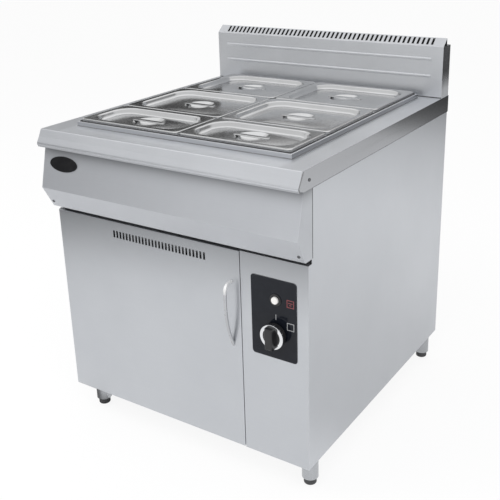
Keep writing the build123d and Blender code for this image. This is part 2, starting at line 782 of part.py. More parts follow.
def piezo_igniter():
    front_y = plate_y - igniter_lip
    body = rod_y(gas_x, button_z, igniter_radius, front_y, face_y + igniter_length)
    lip = rod_y(gas_x, button_z, igniter_flange, front_y, plate_y)
    lip = fillet(lip.edges().group_by(Axis.Y)[0], control_round)
    behind = face_y + casing_sheet
    nut = rod_y(gas_x, button_z, igniter_flange, behind, behind + igniter_nut)
    well_end = front_y + button_proud + 3 * button_travel
    socket = rod_y(gas_x, button_z, button_radius + seat_gap, front_y, well_end)
    wire_end = (gas_x - igniter_radius, face_y + igniter_length - 2 * lead_radius, button_z)
    wire_path = lead(pilot_x + pilot_spacing, chamber_under + tank_sheet + probe_radius, 2, wire_end)
    wire = bent_tube(wire_path, lead_radius, 0, lead_bend)
    return group([body + lip + nut - socket, wire])


def piezo_button():
    tip = plate_y - igniter_lip - button_proud
    button = rod_y(gas_x, button_z, button_radius, tip, tip + 2 * button_proud + button_travel)
    return fillet(button.edges().group_by(Axis.Y)[0], 2 * control_round)


def knob_grip():
    nose = knob_back - knob_thick
    hub = rod_y(gas_x, knob_z, knob_radius, nose, knob_back)
    skirt = rod_y(gas_x, knob_z, knob_ring_radius - knob_skirt, nose + knob_ring_thick, knob_back)
    skirt = fillet(skirt.edges().group_by(Axis.Y)[-1], control_round)
    bar = block((gas_x - grip_width / 2, gas_x + grip_width / 2), (nose - grip_reach, nose),
                (knob_z - grip_span / 2, knob_z + grip_span / 2))
    bar = fillet(bar.edges().group_by(Axis.Y)[0], grip_round)
    socket = rod_y(gas_x, knob_z, spindle_radius, nose, knob_back)
    return hub + skirt + bar - socket


def knob_ring():
    nose = knob_back - knob_thick
    ring = rod_y(gas_x, knob_z, knob_ring_radius, nose, nose + knob_ring_thick)
    ring = fillet(ring.edges().group_by(Axis.Y)[0], control_round)
    return ring - rod_y(gas_x, knob_z, knob_radius, nose, nose + knob_ring_thick)


def tap_spindle():
    end = tap_front + tap_block / 2 - 2 * knob_travel
    return rod_y(gas_x, knob_z, spindle_radius, knob_back - knob_thick, end)


def spindle_collar():
    start = face_y + casing_sheet + collar_thick
    ring = rod_y(gas_x, knob_z, collar_radius, start, start + collar_thick)
    return ring - rod_y(gas_x, knob_z, spindle_radius + running_fit, start, start + collar_thick)


def drain_pipe():
    flange = rod_z(-drain_x, drain_y, drain_flange, tank_under - drain_flange_thick, tank_under)
    pipe = rod_z(-drain_x, drain_y, drain_radius, valve_top, tank_under)
    return flange + pipe - rod_z(-drain_x, drain_y, drain_bore, valve_top, tank_under)


def drain_valve():
    bottom = valve_top - valve_length
    body = rod_z(-drain_x, drain_y, valve_radius, bottom, valve_top)
    tail = rod_z(-drain_x, drain_y, drain_radius, bottom - tail_length, bottom)
    stem = rod_y(-drain_x, valve_middle(), valve_stem, lever_back(), drain_y)
    bore = rod_z(-drain_x, drain_y, drain_bore, bottom - tail_length, bottom + valve_length / 4)
    inlet = rod_z(-drain_x, drain_y, drain_bore, valve_top - valve_length / 4, valve_top)
    body = fillet(body.edges().group_by(Axis.Z)[0] + body.edges().group_by(Axis.Z)[-1], valve_round)
    return body + tail + stem - bore - inlet


def valve_middle():
    return valve_top - valve_length / 2


def lever_back():
    return drain_y - valve_radius - stem_length


def drain_lever():
    y = (lever_back() - lever_sheet, lever_back())
    bar = block((-drain_x - lever_width / 2, -drain_x + lever_length), y,
                (valve_middle() - lever_width / 2, valve_middle() + lever_width / 2))
    return fillet(bar.edges().filter_by(Axis.Y), lever_round)


def overflow_pipe():
    z = top - overflow_drop
    inner_end = -tank_x - overflow_flange_thick
    outer_x = -tank_x - overflow_reach
    flange = rod_x(drain_y, z, overflow_flange, inner_end, -tank_x)
    path = [(inner_end, drain_y, z), (outer_x, drain_y, z), (outer_x, drain_y, z - overflow_length)]
    pipe = bent_tube(path, overflow_radius, overflow_bore, overflow_bend)
    return flange - rod_x(drain_y, z, overflow_bore, inner_end, -tank_x) + pipe


def door_panel():
    # shell with its front sheet drawn down over the base
    x = (door_left, door_right)
    behind = (face_y + casing_sheet, door_back)
    box = block(x, (face_y, door_back), (base_height, door_top))
    shell = fillet(box.faces().sort_by(Axis.Y)[0].edges(), door_radius)
    hollow = block((x[0] + casing_sheet, x[1] - casing_sheet), behind,
                   (door_bottom + casing_sheet, door_top - casing_sheet))
    under = block(x, behind, (base_height, door_bottom))
    middle = (door_left + door_right) / 2 + vent_offset
    vent_count = int(vent_row / vent_pitch) + 1
    first = middle - (vent_count - 1) / 2 * vent_pitch
    slot_top = door_top - vent_drop
    slots = [block((first + i * vent_pitch - vent_width / 2, first + i * vent_pitch + vent_width / 2),
                   (face_y - casing_sheet, face_y + 2 * casing_sheet), (slot_top - vent_height, slot_top))
             for i in range(vent_count)]
    pins = rod_z(hinge_x, hinge_y, pin_radius + running_fit, door_bottom, door_top)
    return shell - hollow - under - slots - pins


def door_liner():
    return block((door_left + casing_sheet, door_right - casing_sheet), (door_back - casing_sheet, door_back),
                 (door_bottom + casing_sheet, door_top - casing_sheet))


def handle_face(high, low, reach, shoulder):
    # side view of the space from the door out to a rounded shoulder that runs down into the door
    out = face_y - reach
    knee = high - shoulder
    turn = (out + shoulder * (1 - cos(radians(45))), knee + shoulder * sin(radians(45)))
    straight_end = (out, knee - handle_straight)
    return make_face([Line((face_y, high), (out + shoulder, high)),
                      ThreePointArc((out + shoulder, high), turn, (out, knee)),
                      Line((out, knee), straight_end),
                      TangentArc(straight_end, (face_y, low), tangent=(0, -1)),
                      Line((face_y, low), (face_y, high))])


def door_handle():
    x = door_right - handle_inset
    high = door_top - handle_drop
    low = high - handle_length
    outer = handle_face(high, low, handle_reach, handle_shoulder)
    inner = handle_face(high - handle_thick, low + handle_foot, handle_reach - handle_thick,
                        handle_shoulder - handle_thick)
    bow = extrude(Plane.YZ.offset(x - handle_width / 2) * (outer - inner), handle_width)
    ends = bow.faces().sort_by(Axis.X)
    rims = ends[0].edges() + ends[-1].edges()
    rims = rims.filter_by_position(Axis.Y, face_y - handle_reach, face_y - seat_gap)
    return chamfer(rims, handle_bevel)


def hinge_brackets():
    half = bracket_width / 2
    pieces = []
    for z0, pin in ((base_top, 1), (rail_bottom - bracket_sheet, -1)):
        y_end = left_front + bracket_width
        plate = block((-casing_in, hinge_x + half), (face_y + hinge_inset, y_end), (z0, z0 + bracket_sheet))
        start = z0 + bracket_sheet if pin > 0 else z0
        z_pin = sorted((start, start + pin * pin_length))
        pieces.append(plate + rod_z(hinge_x, hinge_y, pin_radius, *z_pin))
    return group(pieces)


def catch_span():
    middle = door_top - catch_drop
    return middle - catch_height / 2, middle + catch_height / 2


def magnet_catch():
    y0 = door_back + striker_sheet + seat_gap
    return block((partition_x - catch_width, partition_x), (y0, y0 + catch_length), catch_span())


def striker_plate():
    x = (partition_x - catch_width, door_right - door_gap)
    return block(x, (door_back, door_back + striker_sheet), catch_span())


def leg_tubes():
    tubes = []
    for x, y in legs.values():
        tube = rod_z(x, y, leg_radius, leg_bottom, base_height)
        tube -= rod_z(x, y, leg_radius - leg_wall, leg_bottom + leg_plug, base_height)
        tubes.append(tube - rod_z(x, y, foot_stem + running_fit, leg_bottom, leg_bottom + leg_plug))
    return group(tubes)


def foot(place):
    pad = rod_z(*place, foot_radius, 0, foot_height)
    pad = fillet(pad.edges().group_by(Axis.Z)[0], foot_round)
    return pad + rod_z(*place, foot_stem, foot_height, foot_height + foot_stem_length)


def assembly():
    pieces = {
        "worktop": worktop(),
        "well_frame": well_frame(),
        "water_tank": water_tank(),
        "divider_bar": divider_bar(),
        "cross_bars": cross_bars(),
        "flue_front_panel": flue_front_panel(),
        "flue_top_grille": flue_top_grille(),
        "flue_casing": flue_casing(),
        "front_fascia": front_fascia(),
        "casing_screws": casing_screws(),
        "badge_plate": badge_plate(),
        "left_side_panel": side_panel(-1, left_front),
        "right_side_panel": side_panel(1, face_y + casing_sheet),
        "rear_panel": rear_panel(),
        "base_panel": base_panel(),
        "front_rail": front_rail(),
        "control_panel": control_panel(),
        "control_plate": control_plate(),
        "partition_panel": partition_panel(),
        "combustion_chamber": combustion_chamber(),
        "burner_tubes": burner_tubes(),
        "gas_manifold": gas_manifold(),
        "pilot_burner": pilot_burner(),
        "thermocouple": thermocouple(),
        "gas_tap": gas_tap(),
        "gas_pipes": gas_pipes(),
        "gas_inlet": gas_inlet(),
        "piezo_igniter": piezo_igniter(),
        "piezo_button": piezo_button(),
        "knob_grip": knob_grip(),
        "knob_ring": knob_ring(),
        "tap_spindle": tap_spindle(),
        "spindle_collar": spindle_collar(),
        "drain_pipe": drain_pipe(),
        "drain_valve": drain_valve(),
        "drain_lever": drain_lever(),
        "overflow_pipe": overflow_pipe(),
        "door_panel": door_panel(),
        "door_liner": door_liner(),
        "door_handle": door_handle(),
        "hinge_brackets": hinge_brackets(),
        "magnet_catch": magnet_catch(),
        "striker_plate": striker_plate(),
        "leg_tubes": leg_tubes(),
    }
    for name, place in legs.items():
        pieces[f"foot_{name}"] = foot(place)
    for row, span in row_spans().items():
        for side, column in (("left", -1), ("right", 1)):
            pieces[f"pan_{row}_{side}"] = pan(column, span)
            pieces[f"lid_{row}_{side}"] = lid(column, span)
    return pieces


os.makedirs("parts", exist_ok=True)
for name, piece in assembly().items():
    export_step(piece, f"parts/{name}.step")
    print(name, len(piece.solids()), round(piece.volume))
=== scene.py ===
import json
import math
import bpy
from mathutils import Matrix, Vector


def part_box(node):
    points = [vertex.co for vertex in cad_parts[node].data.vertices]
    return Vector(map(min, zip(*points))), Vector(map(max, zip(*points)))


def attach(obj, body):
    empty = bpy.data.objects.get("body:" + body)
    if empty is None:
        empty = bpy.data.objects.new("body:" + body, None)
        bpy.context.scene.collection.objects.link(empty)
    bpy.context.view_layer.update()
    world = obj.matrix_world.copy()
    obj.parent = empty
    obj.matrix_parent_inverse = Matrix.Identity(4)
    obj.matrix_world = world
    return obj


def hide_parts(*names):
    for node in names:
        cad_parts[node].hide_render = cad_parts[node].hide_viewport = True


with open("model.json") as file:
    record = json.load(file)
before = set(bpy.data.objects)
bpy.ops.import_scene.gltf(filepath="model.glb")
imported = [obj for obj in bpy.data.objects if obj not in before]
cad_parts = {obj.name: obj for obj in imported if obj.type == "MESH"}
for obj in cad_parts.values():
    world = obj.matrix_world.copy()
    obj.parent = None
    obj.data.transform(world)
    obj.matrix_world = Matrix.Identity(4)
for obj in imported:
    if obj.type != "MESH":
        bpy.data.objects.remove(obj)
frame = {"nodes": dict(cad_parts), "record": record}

# what a fresh Blender file starts with is cleared away
for leftover in ("Cube", "Light", "Camera"):
    if leftover in bpy.data.objects:
        bpy.data.objects.remove(bpy.data.objects[leftover])
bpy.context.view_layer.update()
cadNodes = frame["nodes"]
scene = bpy.context.scene
scene.view_settings.view_transform = "Standard"
print("frame loaded,", len(cadNodes), "nodes")

mm = 0.001

# camera where the photograph was taken from
cameraSet = {
    "target": (0.004, 0.013, 0.620),
    "distance": 2.375,
    "azimuth": 33.33,
    "elevation": 19.22,
    "roll": -1.42,
    "focalPixels": 812.3,
    "opticalAxis": (260.7, 197.8),  # pixel where the lens looks straight ahead
    "imageSize": 500,
    "sensor": 36.0,
}


def addCamera():
    azimuth = math.radians(cameraSet["azimuth"])
    elevation = math.radians(cameraSet["elevation"])
    roll = math.radians(cameraSet["roll"])
    back = Vector((math.sin(azimuth) * math.cos(elevation), -math.cos(azimuth) * math.cos(elevation),
                   math.sin(elevation)))
    right = Vector((math.cos(azimuth), math.sin(azimuth), 0.0))
    up = back.cross(right)
    rolledRight = math.cos(roll) * right + math.sin(roll) * up
    rolledUp = math.cos(roll) * up - math.sin(roll) * right
    place = Vector(cameraSet["target"]) + cameraSet["distance"] * back
    lens = bpy.data.cameras.new("photoCamera")
    size = cameraSet["imageSize"]
    lens.sensor_width = cameraSet["sensor"]
    lens.lens = cameraSet["focalPixels"] / size * cameraSet["sensor"]
    lens.shift_x = (size / 2 - cameraSet["opticalAxis"][0]) / size
    lens.shift_y = (cameraSet["opticalAxis"][1] - size / 2) / size
    camera = bpy.data.objects.new("photoCamera", lens)
    turn = Matrix((rolledRight, rolledUp, back)).transposed().to_4x4()
    camera.matrix_world = Matrix.Translation(place) @ turn
    scene.collection.objects.link(camera)
    scene.camera = camera


addCamera()
print("camera placed")


# small helpers for node trees
def addNode(tree, kind, **settings):
    node = tree.nodes.new(kind)
    for name, value in settings.items():
        setattr(node, name, value)
    return node


def feed(tree, socket, value):
    # constants go on the socket itself, anything else is linked to it
    if isinstance(value, (int, float, tuple)):
        socket.default_value = value
    else:
        tree.links.new(value, socket)


def mathNode(tree, operation, first, second=None, clamp=False):
    node = addNode(tree, "ShaderNodeMath", operation=operation, use_clamp=clamp)
    feed(tree, node.inputs[0], first)
    if second is not None:
        feed(tree, node.inputs[1], second)
    return node.outputs[0]


def vectorNode(tree, operation, first, second):
    node = addNode(tree, "ShaderNodeVectorMath", operation=operation)
    feed(tree, node.inputs[0], first)
    feed(tree, node.inputs[1], second)
    return node.outputs["Value" if operation == "DOT_PRODUCT" else "Vector"]


def axisOf(tree, vector, axis):
    node = addNode(tree, "ShaderNodeSeparateXYZ")
    tree.links.new(vector, node.inputs[0])
    return node.outputs[axis]


def normalOf(tree):
    return addNode(tree, "ShaderNodeNewGeometry").outputs["Normal"]


def rangeNode(tree, value, low, high, newLow=0.0, newHigh=1.0):
    node = addNode(tree, "ShaderNodeMapRange")
    tree.links.new(value, node.inputs["Value"])
    for name, number in (("From Min", low), ("From Max", high), ("To Min", newLow), ("To Max", newHigh)):
        node.inputs[name].default_value = number
    return node.outputs["Result"]


def noiseNode(tree, vector, scale, detail=2.0, roughness=0.5):
    node = addNode(tree, "ShaderNodeTexNoise")
    for name, value in (("Vector", vector), ("Scale", scale), ("Detail", detail), ("Roughness", roughness)):
        feed(tree, node.inputs[name], value)
    return node.outputs["Fac"]


# the two inputs and the output that a mix node uses for each kind of value
mixSockets = {"RGBA": (6, 7, 2), "FLOAT": (2, 3, 0)}


def mixNode(tree, kind, factor, first, second):
    node = addNode(tree, "ShaderNodeMix", data_type=kind)
    firstInput, secondInput, output = mixSockets[kind]
    tree.links.new(factor, node.inputs[0])
    feed(tree, node.inputs[firstInput], first)
    feed(tree, node.inputs[secondInput], second)
    return node.outputs[output]


def mixColor(tree, factor, first, second):
    first, second = ((*value, 1.0) if isinstance(value, tuple) else value for value in (first, second))
    return mixNode(tree, "RGBA", factor, first, second)


def mixValue(tree, factor, first, second):
    return mixNode(tree, "FLOAT", factor, first, second)


def newGroup(name, inputs, outputs):
    group = bpy.data.node_groups.new(name, "ShaderNodeTree")
    for socketName, kind, value in inputs:
        socket = group.interface.new_socket(socketName, in_out="INPUT", socket_type=kind)
        if value is not None:
            socket.default_value = value
    for socketName in outputs:
        group.interface.new_socket(socketName, in_out="OUTPUT", socket_type="NodeSocketFloat")
    return group, addNode(group, "NodeGroupInput"), addNode(group, "NodeGroupOutput")


# brushed sheet: streaks along the rolling direction, hand marks and the slow waves of thin plate
grainSet = {
    "streaks": {"detail": 3.0, "roughness": 0.65},
    "streakRange": (0.3, 0.7),
    "smudges": {"detail": 5.0, "roughness": 0.6},
    "smudgeRange": (0.35, 0.68),
    "waves": {"detail": 1.0, "roughness": 0.4},
}


def makeSheetGrain():
    group, come, go = newGroup(
        "sheetGrain",
        [("Coordinates", "NodeSocketVector", None), ("Stretch", "NodeSocketVector", (20.0, 900.0, 900.0)),
         ("Smudge Size", "NodeSocketFloat", 5.0), ("Wave Size", "NodeSocketFloat", 3.0)],
        ["Grain", "Smudge", "Wave"])
    place = come.outputs["Coordinates"]
    stretched = vectorNode(group, "MULTIPLY", place, come.outputs["Stretch"])
    streaks = noiseNode(group, stretched, 1.0, **grainSet["streaks"])
    group.links.new(rangeNode(group, streaks, *grainSet["streakRange"]), go.inputs["Grain"])
    smudges = noiseNode(group, place, come.outputs["Smudge Size"], **grainSet["smudges"])
    group.links.new(rangeNode(group, smudges, *grainSet["smudgeRange"]), go.inputs["Smudge"])
    waves = noiseNode(group, place, come.outputs["Wave Size"], **grainSet["waves"])
    group.links.new(waves, go.inputs["Wave"])
    return group


# edges that hands and cloths have rubbed, lightened as wear and as a painted highlight
wearGlintSet = {
    "samples": 4,
    # the edge lightening is both wear and a painted highlight
    "turn": (0.995, 0.90),  # rounded normal against the face's own, where the rub starts and is full
    "patchSize": 60.0,
    "patchDetail": 3.0,
    "patchRange": (0.3, 0.6),
}


def makeEdgeRub():
    group, come, go = newGroup(
        "edgeRub",
        [("Coordinates", "NodeSocketVector", None), ("Width", "NodeSocketFloat", 0.8 * mm)], ["Rub"])
    soft = addNode(group, "ShaderNodeBevel", samples=wearGlintSet["samples"])
    group.links.new(come.outputs["Width"], soft.inputs["Radius"])
    turn = vectorNode(group, "DOT_PRODUCT", soft.outputs[0], normalOf(group))
    edge = rangeNode(group, turn, *wearGlintSet["turn"])
    patches = noiseNode(group, come.outputs["Coordinates"], wearGlintSet["patchSize"], detail=wearGlintSet["patchDetail"])
    toneMask = mathNode(group, "MULTIPLY", edge, rangeNode(group, patches, *wearGlintSet["patchRange"]), clamp=True)
    group.links.new(toneMask, go.inputs["Rub"])
    return group


# fine leathery skin of moulded plastic and powder paint
skinSet = {
    "pitDetail": 2.0,
    "pitRange": (0.35, 0.65),
    "dustSize": 35.0,
    "dust": {"detail": 5.0, "roughness": 0.65},
    "dustRange": (0.45, 0.75),
}


def makeMouldSkin():
    group, come, go = newGroup(
        "mouldSkin", [("Coordinates", "NodeSocketVector", None), ("Pit Size", "NodeSocketFloat", 1500.0)],
        ["Pits", "Dust"])
    place = come.outputs["Coordinates"]
    pits = noiseNode(group, place, come.outputs["Pit Size"], detail=skinSet["pitDetail"])
    group.links.new(rangeNode(group, pits, *skinSet["pitRange"]), go.inputs["Pits"])
    dust = noiseNode(group, place, skinSet["dustSize"], **skinSet["dust"])
    group.links.new(rangeNode(group, dust, *skinSet["dustRange"]), go.inputs["Dust"])
    return group


sheetGrain = makeSheetGrain()
edgeRub = makeEdgeRub()
mouldSkin = makeMouldSkin()


def plainMaterial(name):
    material = bpy.data.materials.new(name)
    material.use_nodes = True
    return material, material.node_tree


def newMaterial(name):
    material, tree = plainMaterial(name)
    coordinates = addNode(tree, "ShaderNodeTexCoord").outputs["Object"]
    return material, tree, tree.nodes["Principled BSDF"], coordinates


def useGroup(tree, group, coordinates, values):
    node = addNode(tree, "ShaderNodeGroup", node_tree=group)
    tree.links.new(coordinates, node.inputs["Coordinates"])
    for name, value in values.items():
        node.inputs[name].default_value = value
    return node


def addBump(tree, height, distance, before=None):
    bump = addNode(tree, "ShaderNodeBump")
    bump.inputs["Strength"].default_value = 1.0
    bump.inputs["Distance"].default_value = distance
    tree.links.new(height, bump.inputs["Height"])
    if before:
        tree.links.new(before, bump.inputs["Normal"])
    return bump.outputs["Normal"]


# streaks per metre along and across the brushing
streakAlong, streakAcross = 14.0, 1100.0
alongX = (streakAlong, streakAcross, streakAcross)
alongZ = (streakAcross, streakAcross, streakAlong)

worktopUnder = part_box("worktop")[0].z
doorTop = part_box("door_panel")[1].z
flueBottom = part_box("flue_casing")[0].z
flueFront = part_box("flue_top_grille")[0].y
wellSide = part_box("well_frame")[1].x
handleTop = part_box("door_handle")[1].z

# sheet steel: roughness where clean and where marked, stretch of the streaks, size of the marks, height of
# the plate's waves and of the grain, axis and amount of the brushing, share of bare metal
brushedSheet = {
    "rough": (0.34, 0.40), "stretch": alongX, "smudge": 4.0, "wave": 0.3 * mm, "grain": 0.005 * mm,
    "brushed": ("X", 0.6), "metal": 0.8,
}
satinTones = {"color": (0.53, 0.546, 0.575), "shade": (0.485, 0.50, 0.53)}
steelLooks = {
    "satinSteel": {**brushedSheet, **satinTones},
    # the nose's lip: the sheet painted darker as shade
    "lipSteelShaded": {**brushedSheet, "color": (0.43, 0.443, 0.466), "shade": (0.395, 0.407, 0.43), "wave": 0.0},
    "fasciaSteel": {
        **brushedSheet, **satinTones,
        # painted shadow on the fascia under the worktop's nose
        "overhangShadow": {"edge": worktopUnder + 1 * mm, "depth": 60 * mm, "amount": 0.8, "fade": 3.0}},
    "worktopSteel": {
        **brushedSheet, "color": (0.615, 0.63, 0.658), "shade": (0.567, 0.583, 0.612), "rough": (0.34, 0.42),
        # side faces polished and painted darker as shade
        "wave": 0.4 * mm, "metal": 1.0, "polishedShadedSides": {"rough": 0.14, "shade": 0.66},
        # strips beside the well painted darker as shade
        "sideStripShade": {"start": wellSide, "edge": 12 * mm, "fade": (100 * mm, 360 * mm), "shade": 0.84}},
    "panelSteel": {
        **brushedSheet, "color": (0.546, 0.564, 0.594), "shade": (0.516, 0.534, 0.564), "rough": (0.29, 0.34),
        "stretch": alongZ, "smudge": 2.5, "brushed": ("Z", 0.4)},
    "doorSteel": {
        **brushedSheet, "color": (0.534, 0.551, 0.578), "shade": (0.50, 0.517, 0.546), "rough": (0.28, 0.33),
        "smudge": 3.0, "brushed": ("X", 0.5),
        # painted shadow on the door under the fascia
        "overhangShadow": {"edge": doorTop + 1 * mm, "depth": 165 * mm, "amount": 0.5, "fade": 1.6}},
    "flueSteel": {
        **brushedSheet, "color": (0.71, 0.725, 0.75), "shade": (0.655, 0.67, 0.695), "rough": (0.36, 0.44),
        "smudge": 5.0, "wave": 0.4 * mm, "brushed": ("X", 0.4), "metal": 1.0,
        # upper side faces polished and painted darker as shade
        "polishedShadedSides": {"rough": 0.16, "shade": 0.86,
                          "heights": (flueBottom + 25 * mm, flueBottom + 78 * mm)}},
    "grilleSteel": {
        **brushedSheet, "color": (0.49, 0.50, 0.52), "shade": (0.45, 0.46, 0.48), "rough": (0.36, 0.44),
        "smudge": 5.0, "wave": 0.0, "brushed": ("X", 0.4), "metal": 1.0,
        # faces looking into the flue painted dark as shade
        "insideShadePoint": (0.0, flueFront + 15 * mm, flueBottom + 80 * mm)},
    "innerSteel": {
        "color": (0.50, 0.507, 0.52), "shade": (0.42, 0.425, 0.435), "rough": (0.34, 0.5),
        "stretch": alongX, "smudge": 7.0, "wave": 0.3 * mm, "grain": 0.016 * mm, "metal": 1.0},
    "panSteel": {
        "color": (0.56, 0.57, 0.585), "shade": (0.49, 0.5, 0.515), "rough": (0.22, 0.34),
        "stretch": alongZ, "smudge": 9.0, "wave": 0.3 * mm, "grain": 0.01 * mm, "metal": 1.0},
    "lidSteel": {
        "color": (0.537, 0.542, 0.549), "shade": (0.483, 0.485, 0.488), "rough": (0.13, 0.22),
        "stretch": alongX, "smudge": 11.0, "wave": 0.3 * mm, "grain": 0.01 * mm, "metal": 1.0},
    "handleSteel": {
        "color": (0.46, 0.47, 0.49), "shade": (0.42, 0.43, 0.447), "rough": (0.24, 0.32),
        "stretch": alongZ, "smudge": 18.0, "wave": 0.0, "grain": 0.012 * mm, "metal": 0.6,
        # painted highlight on the shoulder
        "shoulderHighlight": {"rough": 0.5, "color": (0.9, 0.9, 0.9),
                    "heights": (handleTop - 30 * mm, handleTop - 14 * mm)}},
    "legSteel": {
        "color": (0.47, 0.483, 0.505), "shade": (0.40, 0.412, 0.43), "rough": (0.16, 0.24),
        "stretch": alongZ, "smudge": 14.0, "wave": 0.0, "grain": 0.012 * mm, "metal": 0.85},
    "pipeSteel": {
        "color": (0.46, 0.46, 0.455), "shade": (0.34, 0.335, 0.325), "rough": (0.32, 0.52),
        "stretch": (90.0, 90.0, 90.0), "smudge": 22.0, "wave": 0.0, "grain": 0.02 * mm, "metal": 1.0},
    "screwSteel": {
        "color": (0.17, 0.172, 0.178), "shade": (0.12, 0.122, 0.127), "rough": (0.16, 0.3),
        "stretch": (700.0, 700.0, 700.0), "smudge": 90.0, "wave": 0.0, "grain": 0.01 * mm, "metal": 1.0},
    "ringChrome": {
        "color": (0.80, 0.81, 0.83), "shade": (0.70, 0.71, 0.73), "rough": (0.06, 0.12),
        "stretch": (300.0, 300.0, 300.0), "smudge": 60.0, "wave": 0.0, "grain": 0.004 * mm, "metal": 1.0},
    "brass": {
        "color": (0.66, 0.47, 0.2), "shade": (0.45, 0.3, 0.12), "rough": (0.24, 0.42),
        "stretch": (160.0, 160.0, 160.0), "smudge": 30.0, "wave": 0.0, "grain": 0.02 * mm, "metal": 1.0},
}
steelSet = {
    "streakShare": 0.35,
    "smudgeShare": 0.65,
    "wearGlintWidth": 1.2 * mm,
    "wearGlintBright": 1.18,
    "wearGlintLimit": 0.9,
    "upward": (0.93, 0.98),  # how squarely a strip's face looks up
    "sideways": (0.85, 0.95),  # how squarely a polished face looks left or right
    "overhangShadowShade": 0.25,
    "insideShadeDepth": (-1 * mm, -4 * mm),
    "insideShadeColor": (0.07, 0.069, 0.068),
}


def tinted(look, share):
    return tuple(share * part for part in look["color"])


# strips beside the well are painted darker as shade, fading out towards the rear, on faces that look up
def shadeSideStrips(tree, coordinates, look, tone):
    stripShade = look["sideStripShade"]
    away = mathNode(tree, "ABSOLUTE", axisOf(tree, coordinates, "X"))
    strip = rangeNode(tree, away, stripShade["start"], stripShade["start"] + stripShade["edge"])
    rear = rangeNode(tree, axisOf(tree, coordinates, "Y"), *stripShade["fade"], 1.0, 0.0)
    upward = rangeNode(tree, axisOf(tree, normalOf(tree), "Z"), *steelSet["upward"])
    strip = mathNode(tree, "MULTIPLY", mathNode(tree, "MULTIPLY", strip, rear), upward)
    return mixColor(tree, strip, tone, tinted(look, stripShade["shade"]))


# faces towards the left and right are polished smoother and painted darker as shade, on some sheets only
# above a height
def polishAndShadeSides(tree, coordinates, look, tone, rough):
    polishShade = look["polishedShadedSides"]
    away = mathNode(tree, "ABSOLUTE", axisOf(tree, normalOf(tree), "X"))
    side = rangeNode(tree, away, *steelSet["sideways"])
    if "heights" in polishShade:
        above = rangeNode(tree, axisOf(tree, coordinates, "Z"), *polishShade["heights"])
        side = mathNode(tree, "MULTIPLY", side, above)
    rough = mixValue(tree, side, rough, polishShade["rough"])
    return mixColor(tree, side, tone, tinted(look, polishShade["shade"])), rough


# painted shadow: darker towards the top edge, where the sheet above overhangs this one
def paintOverhangShadow(tree, coordinates, look, tone):
    shadowSet = look["overhangShadow"]
    edge = shadowSet["edge"]
    near = rangeNode(tree, axisOf(tree, coordinates, "Z"), edge - shadowSet["depth"], edge)
    shadowShare = mathNode(tree, "MULTIPLY", mathNode(tree, "POWER", near, shadowSet["fade"]), shadowSet["amount"])
    return mixColor(tree, shadowShare, tone, tinted(look, steelSet["overhangShadowShade"]))


# painted highlight: the upper shoulder is paler and rougher, where light from above falls on it
def paintShoulderHighlight(tree, coordinates, look, tone, rough):
    shoulderHighlight = look["shoulderHighlight"]
    toneMask = rangeNode(tree, axisOf(tree, coordinates, "Z"), *shoulderHighlight["heights"])
    rough = mixValue(tree, toneMask, rough, shoulderHighlight["rough"])
    return mixColor(tree, toneMask, tone, shoulderHighlight["color"]), rough


# painted shade: faces that look towards a point inside the flue are darkened
def shadeFlueInside(tree, coordinates, look, tone):
    reach = vectorNode(tree, "SUBTRACT", coordinates, look["insideShadePoint"])
    outward = vectorNode(tree, "DOT_PRODUCT", reach, normalOf(tree))
    return mixColor(tree, rangeNode(tree, outward, *steelSet["insideShadeDepth"]), tone, steelSet["insideShadeColor"])


def makeSteel(name, look):
    material, tree, shader, coordinates = newMaterial(name)
    sheet = useGroup(tree, sheetGrain, coordinates,
                     {"Stretch": look["stretch"], "Smudge Size": look["smudge"]})
    wearGlint = useGroup(tree, edgeRub, coordinates, {"Width": steelSet["wearGlintWidth"]})
    streak = mathNode(tree, "MULTIPLY", sheet.outputs["Grain"], steelSet["streakShare"])
    marks = mathNode(tree, "MULTIPLY", sheet.outputs["Smudge"], steelSet["smudgeShare"])
    tone = mixColor(tree, mathNode(tree, "ADD", streak, marks, clamp=True), look["color"], look["shade"])
    # edges lightened as wear and as a painted highlight
    bright = tuple(min(steelSet["wearGlintLimit"], part) for part in tinted(look, steelSet["wearGlintBright"]))
    tone = mixColor(tree, wearGlint.outputs["Rub"], tone, bright)
    rough = rangeNode(tree, sheet.outputs["Smudge"], 0.0, 1.0, *look["rough"])
    if "sideStripShade" in look:
        tone = shadeSideStrips(tree, coordinates, look, tone)
    if "polishedShadedSides" in look:
        tone, rough = polishAndShadeSides(tree, coordinates, look, tone, rough)
    if "overhangShadow" in look:
        tone = paintOverhangShadow(tree, coordinates, look, tone)
    if "shoulderHighlight" in look:
        tone, rough = paintShoulderHighlight(tree, coordinates, look, tone, rough)
    if "insideShadePoint" in look:
        tone = shadeFlueInside(tree, coordinates, look, tone)
    tree.links.new(tone, shader.inputs["Base Color"])
    tree.links.new(rough, shader.inputs["Roughness"])
    normal = addBump(tree, sheet.outputs["Grain"], look["grain"])
    if look["wave"]:
        normal = addBump(tree, sheet.outputs["Wave"], look["wave"], before=normal)
    tree.links.new(normal, shader.inputs["Normal"])
    shader.inputs["Metallic"].default_value = look["metal"]
    if "brushed" in look:
        axis, amount = look["brushed"]
        across = addNode(tree, "ShaderNodeTangent", direction_type="RADIAL", axis=axis)
        tree.links.new(across.outputs[0], shader.inputs["Tangent"])
        shader.inputs["Anisotropic"].default_value = amount
    return material
